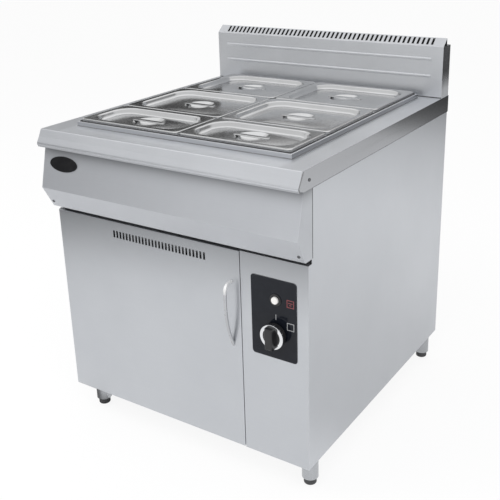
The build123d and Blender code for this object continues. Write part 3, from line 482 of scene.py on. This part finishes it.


# plastic, rubber, print, filler and dark strips painted as shade: colour, dust on it, colour of edges
# lightened as wear and painted highlight, roughness where clean and where dusty
printedMark = {"rough": (0.4, 0.5), "ior": 1.45, "pitSize": 2500.0, "pits": 0.004 * mm}
seamAndShadowFiller = {"rough": (0.5, 0.65), "ior": 1.45, "pitSize": 900.0, "pits": 0.02 * mm}
plasticLooks = {
    "blackPlate": {
        "color": (0.006, 0.0075, 0.012), "dust": (0.009, 0.0105, 0.015), "wearGlint": (0.16, 0.165, 0.175),
        "rough": (0.12, 0.2), "ior": 1.32, "pitSize": 900.0, "pits": 0.004 * mm},
    "blackBadge": {
        "color": (0.006, 0.006, 0.007), "dust": (0.012, 0.012, 0.013), "wearGlint": (0.06, 0.06, 0.065),
        "rough": (0.1, 0.2), "ior": 1.42, "pitSize": 900.0, "pits": 0.003 * mm},
    "blackPlastic": {
        "color": (0.012, 0.012, 0.014), "dust": (0.02, 0.02, 0.022), "wearGlint": (0.05, 0.05, 0.053),
        "rough": (0.3, 0.42), "ior": 1.46, "pitSize": 1600.0, "pits": 0.02 * mm},
    "whitePlastic": {
        "color": (0.80, 0.79, 0.77), "dust": (0.72, 0.71, 0.69), "wearGlint": (0.86, 0.855, 0.84),
        "rough": (0.25, 0.36), "ior": 1.46, "pitSize": 1600.0, "pits": 0.01 * mm},
    "footRubber": {
        "color": (0.045, 0.046, 0.049), "dust": (0.07, 0.07, 0.072), "wearGlint": (0.09, 0.09, 0.092),
        "rough": (0.5, 0.68), "ior": 1.46, "pitSize": 1200.0, "pits": 0.04 * mm},
    "leverRed": {
        "color": (0.42, 0.025, 0.02), "dust": (0.36, 0.03, 0.025), "wearGlint": (0.5, 0.1, 0.09),
        "rough": (0.32, 0.44), "ior": 1.46, "pitSize": 1400.0, "pits": 0.02 * mm},
    "markWhite": {
        **printedMark,
        "color": (0.30, 0.305, 0.315), "dust": (0.26, 0.265, 0.275), "wearGlint": (0.34, 0.345, 0.355)},
    "markRed": {
        **printedMark,
        "color": (0.20, 0.04, 0.045), "dust": (0.17, 0.04, 0.045), "wearGlint": (0.22, 0.05, 0.055)},
    "seamGrey": {
        **seamAndShadowFiller,
        "color": (0.14, 0.143, 0.15), "dust": (0.18, 0.183, 0.19), "wearGlint": (0.24, 0.243, 0.25)},
    # dark filler for real seams, also worn by strips painted as shade
    "seamAndShadowDark": {
        **seamAndShadowFiller,
        "color": (0.018, 0.018, 0.02), "dust": (0.03, 0.03, 0.032), "wearGlint": (0.035, 0.035, 0.037)},
}
plasticRubWidth = 0.8 * mm


def makePlastic(name, look):
    material, tree, shader, coordinates = newMaterial(name)
    skin = useGroup(tree, mouldSkin, coordinates, {"Pit Size": look["pitSize"]})
    wearGlint = useGroup(tree, edgeRub, coordinates, {"Width": plasticRubWidth})
    tone = mixColor(tree, skin.outputs["Dust"], look["color"], look["dust"])
    tree.links.new(mixColor(tree, wearGlint.outputs["Rub"], tone, look["wearGlint"]), shader.inputs["Base Color"])
    rough = rangeNode(tree, skin.outputs["Dust"], 0.0, 1.0, *look["rough"])
    tree.links.new(rough, shader.inputs["Roughness"])
    tree.links.new(addBump(tree, skin.outputs["Pits"], look["pits"]), shader.inputs["Normal"])
    shader.inputs["IOR"].default_value = look["ior"]
    return material


finishes = {name: makeSteel(name, look) for name, look in steelLooks.items()}
finishes.update({name: makePlastic(name, look) for name, look in plasticLooks.items()})
print("materials made,", len(finishes))

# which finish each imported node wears: by its own name, or else by its slot in the record
slotFinish = {
    "satin_steel": "satinSteel", "inner_steel": "innerSteel", "pan_steel": "panSteel",
    "lid_steel": "lidSteel", "handle_steel": "handleSteel", "leg_steel": "legSteel",
    "pipe_steel": "pipeSteel", "bright_screws": "screwSteel", "ring_chrome": "ringChrome",
    "brass": "brass", "black_plate": "blackPlate", "black_badge": "blackBadge",
    "black_plastic": "blackPlastic", "white_plastic": "whitePlastic", "lever_red": "leverRed",
    "foot_black": "footRubber",
}
nodeFinish = {
    "worktop": "worktopSteel", "well_frame": "worktopSteel", "front_fascia": "fasciaSteel",
    "left_side_panel": "panelSteel", "right_side_panel": "panelSteel", "rear_panel": "panelSteel",
    "door_panel": "doorSteel", "control_panel": "doorSteel", "flue_front_panel": "flueSteel",
    "flue_top_grille": "grilleSteel", "flue_casing": "flueSteel",
}
slotOf = {part["node"]: part["material_slot"] for part in frame["record"]["subparts"]}
for nodeName, node in cadNodes.items():
    finish = nodeFinish.get(nodeName) or slotFinish[slotOf[nodeName]]
    node.data.materials.clear()
    node.data.materials.append(finishes[finish])
print("packed nodes dressed")


# mesh helpers
def addMesh(name, points, faces, material):
    mesh = bpy.data.meshes.new(name)
    mesh.from_pydata(points, [], faces)
    mesh.update()
    mesh.materials.append(material)
    thing = bpy.data.objects.new(name, mesh)
    scene.collection.objects.link(thing)
    return thing


def addPiece(name, rows, faces, finish, body):
    # rows of points, which the faces number one after another
    points = [tuple(point) for row in rows for point in row]
    piece = addMesh(name, points, faces, finishes[finish])
    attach(piece, body)
    return piece


def smoothShade(piece, angle):
    for face in piece.data.polygons:
        face.use_smooth = True
    piece.data.set_sharp_from_angle(angle=math.radians(angle))


def arc(middle, radius, start, end, steps):
    # points of a profile's round stretch, angles in degrees
    points = []
    for i in range(steps + 1):
        angle = math.radians(start + (end - start) * i / steps)
        points.append((middle[0] + radius * math.cos(angle), middle[1] + radius * math.sin(angle)))
    return points


def roundedLoop(halfX, halfY, radius, perCorner, perSide):
    # plan outline, anticlockwise from the right-hand side's upper end
    loop = []
    corners = [((1, 1), 0), ((-1, 1), 90), ((-1, -1), 180), ((1, -1), 270)]
    for (signX, signY), start in corners:
        middle = (signX * (halfX - radius), signY * (halfY - radius))
        loop.append(arc(middle, radius, start, start + 90, perCorner))
    points = []
    for i, corner in enumerate(loop):
        points += corner
        after = loop[(i + 1) % 4][0]
        for step in range(1, perSide):
            share = step / perSide
            points.append(tuple(a + share * (b - a) for a, b in zip(corner[-1], after)))
    return points


def roundLoop(radius, perCorner, perSide):
    # circle with as many points as a rounded outline, its corners towards the diagonals
    perQuarter = perCorner + perSide
    first = 45.0 - 45.0 * perCorner / perQuarter
    points = []
    for i in range(4 * perQuarter):
        angle = math.radians(first + 90.0 * i / perQuarter)
        points.append((radius * math.cos(angle), radius * math.sin(angle)))
    return points


def skinLoops(loops, closeStart=False):
    # faces between rows of points of one length, closed at the last row and on request at the first
    count = len(loops[0])
    faces = []
    for row in range(len(loops) - 1):
        for i in range(count):
            j = (i + 1) % count
            faces.append((row * count + i, row * count + j, (row + 1) * count + j, (row + 1) * count + i))
    faces.append(tuple((len(loops) - 1) * count + i for i in range(count)))
    if closeStart:
        faces.append(tuple(reversed(range(count))))
    return faces


# pressed lids with a sunken tray, a round finger dish and a strap across it
lidSet = {
    "sheet": 1.2 * mm,
    "outerCorner": 12.5 * mm,
    "trayCorner": 52.0 * mm,
    "ridge": 17.0 * mm,
    "sink": 14.0 * mm,
    "crown": 4.5 * mm,  # floor's rise from the wall to the dish
    "crownSteps": 5,
    "rimHeight": 7.0 * mm,
    "wallLean": 20.0,
    "rimRound": 2.0 * mm,
    "ridgeRound": 5.0 * mm,
    "floorRound": 9.0 * mm,
    "dishRadius": 44.0 * mm,
    "dishDepth": 12.0 * mm,
    "dishRound": 2.5 * mm,
    "dishSteps": 4,
    "dishRings": 9,
    "perCorner": 12,
    "perSide": 6,
    "roundSteps": 6,
    "smoothAngle": 40.0,
}


def lidProfile():
    # inset from the outer edge and height under the lid's top, from the rim to the tray's floor
    steps = lidSet["roundSteps"]
    rim = lidSet["rimRound"]
    lean = math.radians(lidSet["wallLean"])
    turn = 90.0 - lidSet["wallLean"]
    ridge, floor = lidSet["ridgeRound"], lidSet["floorRound"]
    ridgeRun = ridge * math.tan(math.radians(turn / 2))
    floorRun = floor * math.tan(math.radians(turn / 2))
    floorInset = lidSet["ridge"] + lidSet["sink"] * math.tan(lean)
    points = [(0.0, -lidSet["rimHeight"])]
    points += arc((rim, -rim), rim, 180, 90, steps)
    points += arc((lidSet["ridge"] - ridgeRun, -ridge), ridge, 90, 90 - turn, steps)
    points += arc((floorInset + floorRun, -lidSet["sink"] + floor), floor, 270 - turn, 270, steps)
    return points


def dishProfile():
    # radius and height under the lid's top, from the tray's floor down a shallow bowl to its middle
    radius, depth, lip = lidSet["dishRadius"], lidSet["dishDepth"], lidSet["dishRound"]
    ball = (radius * radius + depth * depth) / (2 * depth)
    slope = math.degrees(math.asin(radius / ball))
    top = lidSet["crown"] - lidSet["sink"]
    lipMiddle = (radius + lip * math.tan(math.radians(slope / 2)), top - lip)
    points = arc(lipMiddle, lip, 90, 90 + slope, lidSet["dishSteps"])
    rings = lidSet["dishRings"]
    for i in range(1, rings):
        angle = math.radians(slope) * (1 - i / rings)
        points.append((ball * math.sin(angle), top - depth + ball * (1 - math.cos(angle))))
    return points


def trayCornerAt(inset):
    # the outline's corners widen up to the ridge and then follow the tray's wall
    outer, tray, ridge = lidSet["outerCorner"], lidSet["trayCorner"], lidSet["ridge"]
    if inset < ridge:
        return outer + inset / ridge * (tray - outer)
    return tray - (inset - ridge)


def addLid(row, side):
    name = f"lid_{row}_{side}"
    low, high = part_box(name)
    middle = (low + high) / 2
    halfX, halfY = (high.x - low.x) / 2, (high.y - low.y) / 2
    perCorner, perSide = lidSet["perCorner"], lidSet["perSide"]
    loops = []
    for inset, height in lidProfile():
        plan = roundedLoop(halfX - inset, halfY - inset, trayCornerAt(inset), perCorner, perSide)
        loops.append([(middle.x + x, middle.y + y, high.z + height) for x, y in plan])
    dish = []
    for radius, height in dishProfile():
        plan = roundLoop(radius, perCorner, perSide)
        dish.append([(middle.x + x, middle.y + y, high.z + height) for x, y in plan])
    edge = loops[-1]
    for step in range(1, lidSet["crownSteps"]):
        share = step / lidSet["crownSteps"]
        rise = math.sin(share * math.pi / 2)  # steeper beside the wall than beside the dish
        loops.append([(a[0] + share * (b[0] - a[0]), a[1] + share * (b[1] - a[1]),
                       a[2] + rise * (b[2] - a[2])) for a, b in zip(edge, dish[0])])
    loops += dish
    lid = addPiece(f"lidPressing_{row}_{side}", loops, skinLoops(loops), "lidSteel", name)
    smoothShade(lid, lidSet["smoothAngle"])
    thick = lid.modifiers.new("sheet", "SOLIDIFY")
    thick.thickness = lidSet["sheet"]
    thick.offset = -1.0
    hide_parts(name)
    addStrap(row, side, Vector((middle.x, middle.y, high.z + lidSet["crown"] - lidSet["sink"])))


strapSet = {
    "length": 104.0 * mm,
    "width": 16.0 * mm,
    "thick": 2.0 * mm,
    "endRound": 6.4 * mm,
    "leastRound": 1.4 * mm,
    "edgeRound": 0.6 * mm,
    "edgeSteps": 4,
    "crown": 0.35 * mm,
    "flatFrom": 0.6,  # share of the half width where the crown is level
    "perEnd": (6, 3),
    "smoothAngle": 40.0,
}


def addStrap(row, side, seat):
    halfX, halfY = strapSet["length"] / 2, strapSet["width"] / 2
    edge, top = strapSet["edgeRound"], strapSet["thick"]
    rounding = arc((edge, -edge), edge, 180, 90, strapSet["edgeSteps"])
    profile = [(0.0, 0.0)] + [(x, top - strapSet["crown"] + z) for x, z in rounding]
    profile += [(halfY * strapSet["flatFrom"], top)]
    loops = []
    for inset, height in profile:
        corner = max(strapSet["endRound"] - inset, strapSet["leastRound"])
        plan = roundedLoop(halfX - inset, halfY - inset, corner, *strapSet["perEnd"])
        loops.append([(seat.x + x, seat.y + y, seat.z + height) for x, y in plan])
    faces = skinLoops(loops, closeStart=True)
    strap = addPiece(f"lidStrap_{row}_{side}", loops, faces, "lidSteel", f"lid_{row}_{side}")
    smoothShade(strap, strapSet["smoothAngle"])


for row in ("front", "middle", "back"):
    for side in ("left", "right"):
        addLid(row, side)
print("lids pressed")

# printed marks on the black control plate, placed from the knob's middle
markSet = {
    "proud": 0.15 * mm,
    "pointerZ": 43.4 * mm,
    "pointerSize": (2.0 * mm, 14.0 * mm),
    "square": 20.0 * mm,
    "line": 2.0 * mm,
    "squareX": 40.5 * mm,
    "litSquareZ": 87.0 * mm,
    "offSquareZ": 27.0 * mm,
}


def addMark(name, bars, finish):
    # flat bars given as middle x, middle z, width and height on the plate's face
    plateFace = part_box("control_plate")[0].y
    rows, faces = [], []
    for x, z, width, height in bars:
        base = 4 * len(rows)
        for y in (plateFace - markSet["proud"], plateFace):
            rows.append([(x + signX * width / 2, y, z + signZ * height / 2)
                         for signX, signZ in ((-1, -1), (1, -1), (1, 1), (-1, 1))])
        faces.append((base, base + 1, base + 2, base + 3))
        faces.append((base + 7, base + 6, base + 5, base + 4))
        for i in range(4):
            j = (i + 1) % 4
            faces.append((base + i, base + 4 + i, base + 4 + j, base + j))
    addPiece(name, rows, faces, finish, "cabinet")


def squareBars(x, z):
    size, line = markSet["square"], markSet["line"]
    reach = (size - line) / 2
    return [(x, z + reach, size, line), (x, z - reach, size, line),
            (x - reach, z, line, size - 2 * line), (x + reach, z, line, size - 2 * line)]


def addMarks():
    low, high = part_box("knob_ring")
    knobX, knobZ = (low.x + high.x) / 2, (low.z + high.z) / 2
    addMark("pointerMark", [(knobX, knobZ + markSet["pointerZ"], *markSet["pointerSize"])], "markWhite")
    x = knobX + markSet["squareX"]
    addMark("offMark", squareBars(x, knobZ + markSet["offSquareZ"]), "markWhite")
    z = knobZ + markSet["litSquareZ"]
    line = markSet["line"]
    inner = markSet["square"] / 2 - 2 * line
    bars = squareBars(x, z) + [(x, z + line, 2 * inner, line), (x, z - inner / 2, inner, line)]
    addMark("litMark", bars, "markRed")


addMarks()
print("control plate printed")


def addRun(name, sections, finish="seamAndShadowDark"):
    # closed strip through cross-sections of equal length
    return addPiece(name, sections, skinLoops(sections, closeStart=True), finish, "cabinet")


# folded nose of the worktop: leaning face, rounded ridge and a lip that turns back under it, the lip in a
# copy of the sheet painted darker as shade
noseSet = {
    "endProud": 0.1 * mm,
    "top": (18.5 * mm, 3.2 * mm),  # back from the front edge and down from the worktop
    "ridge": (0.1 * mm, 34.5 * mm),
    "ridgeRound": 3.0 * mm,
    "lip": (3.6 * mm, 46.0 * mm),
    "lipRound": 1.4 * mm,
    "lipBack": (7.5 * mm, 42.0 * mm),
    "hidden": ((2.6 * mm, 38.5 * mm), (19.5 * mm, 4.2 * mm)),
    "bendSteps": 5,
    "smoothAngle": 40.0,
}


def bend(before, corner, after, reach):
    # points of a rounded corner between two straight stretches
    start = Vector(corner) + reach * (Vector(before) - Vector(corner)).normalized()
    end = Vector(corner) + reach * (Vector(after) - Vector(corner)).normalized()
    steps = noseSet["bendSteps"]
    points = []
    for i in range(steps + 1):
        share = i / steps
        points.append((1 - share) ** 2 * start + 2 * share * (1 - share) * Vector(corner) + share ** 2 * end)
    return points


def addNose():
    low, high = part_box("worktop")
    top, ridge, lip, back = noseSet["top"], noseSet["ridge"], noseSet["lip"], noseSet["lipBack"]
    over = bend(top, ridge, lip, noseSet["ridgeRound"])
    under = bend(ridge, lip, back, noseSet["lipRound"])
    inner, upper = noseSet["hidden"]
    middle = len(over) // 2
    profiles = {"noseFace": ([top, *over[:middle + 1], inner, upper], "worktopSteel"),
                "noseLip": ([*over[middle:], *under, back, inner], "lipSteelShaded")}
    end = high.x + noseSet["endProud"]
    for name, (profile, finish) in profiles.items():
        sections = [[(x, low.y + away, high.z - down) for away, down in profile] for x in (-end, end)]
        smoothShade(addRun(name, sections, finish), noseSet["smoothAngle"])


# dark seams where sheets meet, the bead under the flue, a dark strip painted as the shadow under the
# worktop's side band, and a dark strip on the rail above the door painted as the shadow in the gap there
seamSet = {
    "proud": 0.3 * mm,
    "bandShadowLine": 2.4 * mm,
    "bandShadowProud": (1.2 * mm, 1.5 * mm),  # half way up the line and at its upper edge
    "endLine": 4.5 * mm,
    "endTaper": 0.2,
    "noseLine": 4.0 * mm,
    "noseTaper": 0.1,
    "noseEnd": ((5.0 * mm, 45.5 * mm), (1.5 * mm, 35.0 * mm), (22.5 * mm, 3.0 * mm)),  # back and down
    "flueFoot": (1.6 * mm, 2.2 * mm),
    "flueFootShoulder": (0.6, 0.7),  # shares of its depth and height
    "gapShadowHeight": 14.0 * mm,
    "gapShadowProud": 0.5 * mm,
}


def seamSection(line, proud, taper):
    # how far a seam stands out, at each place across its line
    return [(0.0, 0.0), (proud, taper * line), (proud, (1 - taper) * line), (0.0, line)]


def addSideSeamsAndShadow(side, sign):
    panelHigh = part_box("right_side_panel")[1]
    topLow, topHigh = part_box("worktop")
    fasciaLow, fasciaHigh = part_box("front_fascia")
    panelFace, topFace = sign * panelHigh.x, sign * topHigh.x
    proud = sign * seamSet["proud"]
    # painted shadow: dark strip under the worktop's side band
    high = topLow.z
    low = high - seamSet["bandShadowLine"]
    middleProud, upperProud = (sign * part for part in seamSet["bandShadowProud"])
    corners = [(0.0, low), (middleProud, (low + high) / 2), (upperProud, high), (0.0, high)]
    sections = [[(panelFace + x, y, z) for x, z in corners] for y in (fasciaHigh.y, panelHigh.y)]
    addRun(f"bandSeam_{side}", sections[::-1] if sign > 0 else sections)
    corners = seamSection(seamSet["endLine"], proud, seamSet["endTaper"])
    sections = [[(panelFace + x, fasciaHigh.y + y, z) for x, y in corners] for z in (fasciaLow.z, low)]
    addRun(f"endSeam_{side}", sections if sign > 0 else sections[::-1])
    corners = seamSection(seamSet["noseLine"], proud, seamSet["noseTaper"])
    sections = [[(topFace + x, topLow.y + back + y, topHigh.z - under) for x, y in corners]
                for back, under in seamSet["noseEnd"]]
    addRun(f"noseSeam_{side}", sections if sign > 0 else sections[::-1], "seamGrey")


def addCrossSeamsAndShadow():
    flueLow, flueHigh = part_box("flue_casing")
    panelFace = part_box("flue_top_grille")[0].y
    depth, height = seamSet["flueFoot"]
    inShare, upShare = seamSet["flueFootShoulder"]
    corners = [(0.0, 0.0), (0.0, height), (-inShare * depth, upShare * height), (-depth, 0.0)]
    ends = (flueLow.x, flueHigh.x)
    addRun("flueFoot", [[(x, panelFace + y, flueLow.z + z) for y, z in corners] for x in ends])
    # painted shadow: dark strip on the rail, where the gap above the door is in shade
    railLow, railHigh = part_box("front_rail")
    height, proud = seamSet["gapShadowHeight"], seamSet["gapShadowProud"]
    corners = [(0.0, 0.0), (0.0, height), (-proud, height - proud), (-proud, proud)]
    ends = (railLow.x, railHigh.x)
    addRun("railSeal", [[(x, railLow.y + y, railLow.z + z) for y, z in corners] for x in ends])


# rounded beads: a dark bead round the pans' flanges, painted as the shadow in the gap beside the lids, and
# the bead between the well frame and the worktop
beadSet = {
    "section": ((0.0, 0.0), (0.0, 0.8), (0.35, 1.0), (0.75, 0.8), (1.0, 0.0)),  # shares of width and height
    "steps": (5, 4),
    "smoothAngle": 50.0,
    # dark bead painted as the shadow in the gap round the pans' flanges
    "wellSeal": {"size": (1.7 * mm, 2.2 * mm), "corner": 1.5 * mm, "finish": "seamAndShadowDark"},
    "wellGapShadowInset": 0.3 * mm,
    "frameFoot": {"size": (1.6 * mm, 1.4 * mm), "corner": 1.0 * mm, "finish": "seamGrey"},
    "frameSeat": 12.0 * mm,  # well frame above the worktop
}


def addBead(name, low, high, seat, gap=0.0):
    # runs round the rectangle between two corners, its inner edge a gap away from it
    look = beadSet[name]
    width, height = look["size"]
    middleX, middleY = (low[0] + high[0]) / 2, (low[1] + high[1]) / 2
    halfX, halfY = (high[0] - low[0]) / 2 + gap, (high[1] - low[1]) / 2 + gap
    rings = []
    for outShare, upShare in beadSet["section"]:
        out, up = outShare * width, upShare * height
        plan = roundedLoop(halfX + out, halfY + out, look["corner"] + out, *beadSet["steps"])
        rings.append([(middleX + x, middleY + y, seat + up) for x, y in plan])
    count = len(rings[0])
    faces = []
    for row in range(len(rings)):
        after = (row + 1) % len(rings)
        for i in range(count):
            j = (i + 1) % count
            faces.append((row * count + i, after * count + i, after * count + j, row * count + j))
    bead = addPiece(name, rings, faces, look["finish"], "cabinet")
    smoothShade(bead, beadSet["smoothAngle"])


def addWellBeads():
    frameLow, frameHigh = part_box("well_frame")
    lows, highs = zip(*(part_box(f"pan_{row}_{side}")
                        for row in ("front", "back") for side in ("left", "right")))
    low = [min(corner[i] for corner in lows) for i in range(2)]
    high = [max(corner[i] for corner in highs) for i in range(2)]
    addBead("wellSeal", low, high, frameHigh.z, beadSet["wellGapShadowInset"])
    addBead("frameFoot", frameLow, frameHigh, frameHigh.z - beadSet["frameSeat"])


addNose()
for side, sign in (("left", -1), ("right", 1)):
    addSideSeamsAndShadow(side, sign)
addCrossSeamsAndShadow()
addWellBeads()
print("seams drawn")

# studio: pale floor, soft white surroundings and a few grey cards that only reflections see
stageSet = {
    "floorRings": (1.5, 3.0, 6.0, 12.0, 40.0),
    "floorSides": 48,
    "floorColor": (0.9, 0.9, 0.9),
    "floorRough": 0.9,
    "floorGlow": 0.88,
    "white": (1.0, 1.0, 1.0, 1.0),
    "fill": 0.8,
}


def lightPathWhite(tree):
    # what the camera sees straight, mirrored or through something
    path = addNode(tree, "ShaderNodeLightPath")
    seen = mathNode(tree, "MAXIMUM", path.outputs["Is Camera Ray"], path.outputs["Is Glossy Ray"])
    return mathNode(tree, "MAXIMUM", seen, path.outputs["Is Transmission Ray"])


def mixShaders(tree, share, first, second, output):
    mix = addNode(tree, "ShaderNodeMixShader")
    for socket, value in zip(mix.inputs, (share, first.outputs[0], second.outputs[0])):
        tree.links.new(value, socket)
    tree.links.new(mix.outputs[0], tree.nodes[output].inputs["Surface"])


def addWorld():
    world = bpy.data.worlds.new("studio")
    world.use_nodes = True
    scene.world = world
    tree = world.node_tree
    fill, white = tree.nodes["Background"], addNode(tree, "ShaderNodeBackground")
    for light, strength in ((fill, stageSet["fill"]), (white, 1.0)):
        light.inputs["Color"].default_value = stageSet["white"]
        light.inputs["Strength"].default_value = strength
    mixShaders(tree, lightPathWhite(tree), fill, white, "World Output")


def makeFloorPaper():
    material, tree = plainMaterial("floorPaper")
    shader = tree.nodes["Principled BSDF"]
    shader.inputs["Base Color"].default_value = (*stageSet["floorColor"], 1.0)
    shader.inputs["Roughness"].default_value = stageSet["floorRough"]
    share = mathNode(tree, "MULTIPLY", lightPathWhite(tree), stageSet["floorGlow"])
    mixShaders(tree, share, shader, addNode(tree, "ShaderNodeEmission"), "Material Output")
    return material


def addFloor():
    points, faces = [(0.0, 0.0, 0.0)], []
    sides = stageSet["floorSides"]
    rings = stageSet["floorRings"]
    for radius in rings:
        for i in range(sides):
            angle = 2 * math.pi * i / sides
            points.append((radius * math.cos(angle), radius * math.sin(angle), 0.0))
    for i in range(sides):
        faces.append((0, 1 + i, 1 + (i + 1) % sides))
    for ring in range(len(rings) - 1):
        for i in range(sides):
            j = (i + 1) % sides
            a, b = 1 + ring * sides, 1 + (ring + 1) * sides
            faces.append((a + i, b + i, b + j, a + j))
    floor = addMesh("floor", points, faces, makeFloorPaper())


lampAim = (0.0, 0.0, 0.6)
lampSet = {
    "keyLamp": {"place": (1.6, -2.4, 3.6), "size": 2.4, "power": 60.0},
    "fillLamp": {"place": (-2.6, -2.2, 3.2), "size": 2.6, "power": 60.0},
}


def addLamps():
    for name, lamp in lampSet.items():
        light = bpy.data.lights.new(name, "AREA")
        light.shape = "SQUARE"
        light.size = lamp["size"]
        light.energy = lamp["power"]
        holder = bpy.data.objects.new(name, light)
        place = Vector(lamp["place"])
        turn = (Vector(lampAim) - place).to_track_quat("-Z", "Y").to_matrix().to_4x4()
        holder.matrix_world = Matrix.Translation(place) @ turn
        holder.visible_glossy = False
        scene.collection.objects.link(holder)


# grey studio cards that only polished metal sees: columns are compass angles in degrees from the back
# towards the right with their grey, rows are radius, height and how much of that grey the row takes on
cardSet = {
    "lidCard": {
        "rows": ((4.0, 1.06, 1.0), (4.0, 2.5, 1.0)),
        "columns": ((-62.0, 0.3), (-46.0, 0.06), (-40.0, 0.08), (-33.0, 0.22), (-25.0, 0.3), (43.0, 0.35),
                    (62.0, 0.8))},
    "frontCard": {
        "rows": ((1.6, 0.004, 0.0), (1.9, 0.004, 0.28), (2.2, 0.004, 0.95), (2.5, 0.004, 1.12),
                 (3.2, 0.004, 0.9), (3.8, 0.004, 0.42), (4.2, 0.004, 0.34), (4.2, 0.45, 0.36),
                 (4.2, 0.75, 1.0), (4.2, 1.9, 1.0)),
        "columns": ((-175.0, 1.0), (-158.0, 0.88), (-149.0, 0.68), (-140.0, 0.39), (-132.0, 0.13),
                    (-118.0, 0.1), (-100.0, 0.6))},
    "legCard": {
        "rows": ((0.45, 0.003, 1.0), (0.58, 0.003, 1.0), (0.66, 0.003, 0.0)),
        "columns": ((-144.0, 1.0), (-135.0, 0.15), (-112.0, 0.15), (-100.0, 1.0))},
    "bandCard": {
        "rows": ((2.1, 0.004, 0.0), (2.5, 0.004, 0.15), (3.3, 0.004, 0.23), (3.8, 0.004, 0.9),
                 (4.4, 0.004, 1.0), (4.4, 1.06, 1.0)),
        "columns": ((8.0, 0.7), (16.0, 0.06), (27.0, 0.08), (40.0, 0.55), (50.0, 0.95))},
    "sideCard": {
        "rows": ((0.42, 0.003, 1.0), (0.8, 0.003, 0.8), (1.2, 0.003, 0.5), (1.7, 0.003, 0.25),
                 (2.1, 0.003, 0.0)),
        "columns": ((28.0, 1.0), (42.0, 0.76), (95.0, 0.76), (118.0, 1.0))},
}
cardSteps = 32
topCard = {"place": (-0.4, 0.9, 3.2), "radius": 2.3, "glow": 1.35, "sides": 32}


def makeCardPaint(name, glow):
    material, tree = plainMaterial(name)
    tree.nodes.remove(tree.nodes["Principled BSDF"])
    painted = addNode(tree, "ShaderNodeVertexColor", layer_name="shade")
    light = addNode(tree, "ShaderNodeEmission")
    light.inputs["Strength"].default_value = glow
    tree.links.new(painted.outputs["Color"], light.inputs["Color"])
    tree.links.new(light.outputs[0], tree.nodes["Material Output"].inputs["Surface"])
    return material


def addCard(name, points, faces, greys, glow=1.0):
    board = addMesh(name, points, faces, makeCardPaint(name, glow))
    shades = board.data.color_attributes.new("shade", "FLOAT_COLOR", "POINT")
    for spot, grey in zip(shades.data, greys):
        spot.color = (grey, grey, grey, 1.0)
    board.visible_camera = False
    board.visible_diffuse = False
    board.visible_shadow = False
    board.visible_transmission = False


def greyAt(columns, angle):
    for low, high in zip(columns, columns[1:]):
        if angle <= high[0]:
            return low[1] + (high[1] - low[1]) * (angle - low[0]) / (high[0] - low[0])
    return columns[-1][1]


def addRingCard(name, rows, columns):
    first, last = columns[0][0], columns[-1][0]
    points, faces, greys = [], [], []
    for i in range(cardSteps + 1):
        angle = first + (last - first) * i / cardSteps
        turn = math.radians(angle)
        for radius, height, share in rows:
            points.append((radius * math.sin(turn), radius * math.cos(turn), height))
            greys.append(max(0.0, 1.0 - share * (1.0 - greyAt(columns, angle))))
    for i in range(cardSteps):
        for j in range(len(rows) - 1):
            a, b = i * len(rows) + j, (i + 1) * len(rows) + j
            faces.append((a, b, b + 1, a + 1))
    addCard(name, points, faces, greys)


def addTopCard():
    x, y, z = topCard["place"]
    radius, sides = topCard["radius"], topCard["sides"]
    turns = [2 * math.pi * i / sides for i in range(sides)]
    points = [(x + radius * math.cos(turn), y + radius * math.sin(turn), z) for turn in turns]
    addCard("topCard", points, [tuple(range(sides))], [1.0] * sides, topCard["glow"])


addWorld()
addFloor()
addLamps()
for name, card in cardSet.items():
    addRingCard(name, card["rows"], card["columns"])
addTopCard()
print("studio set")
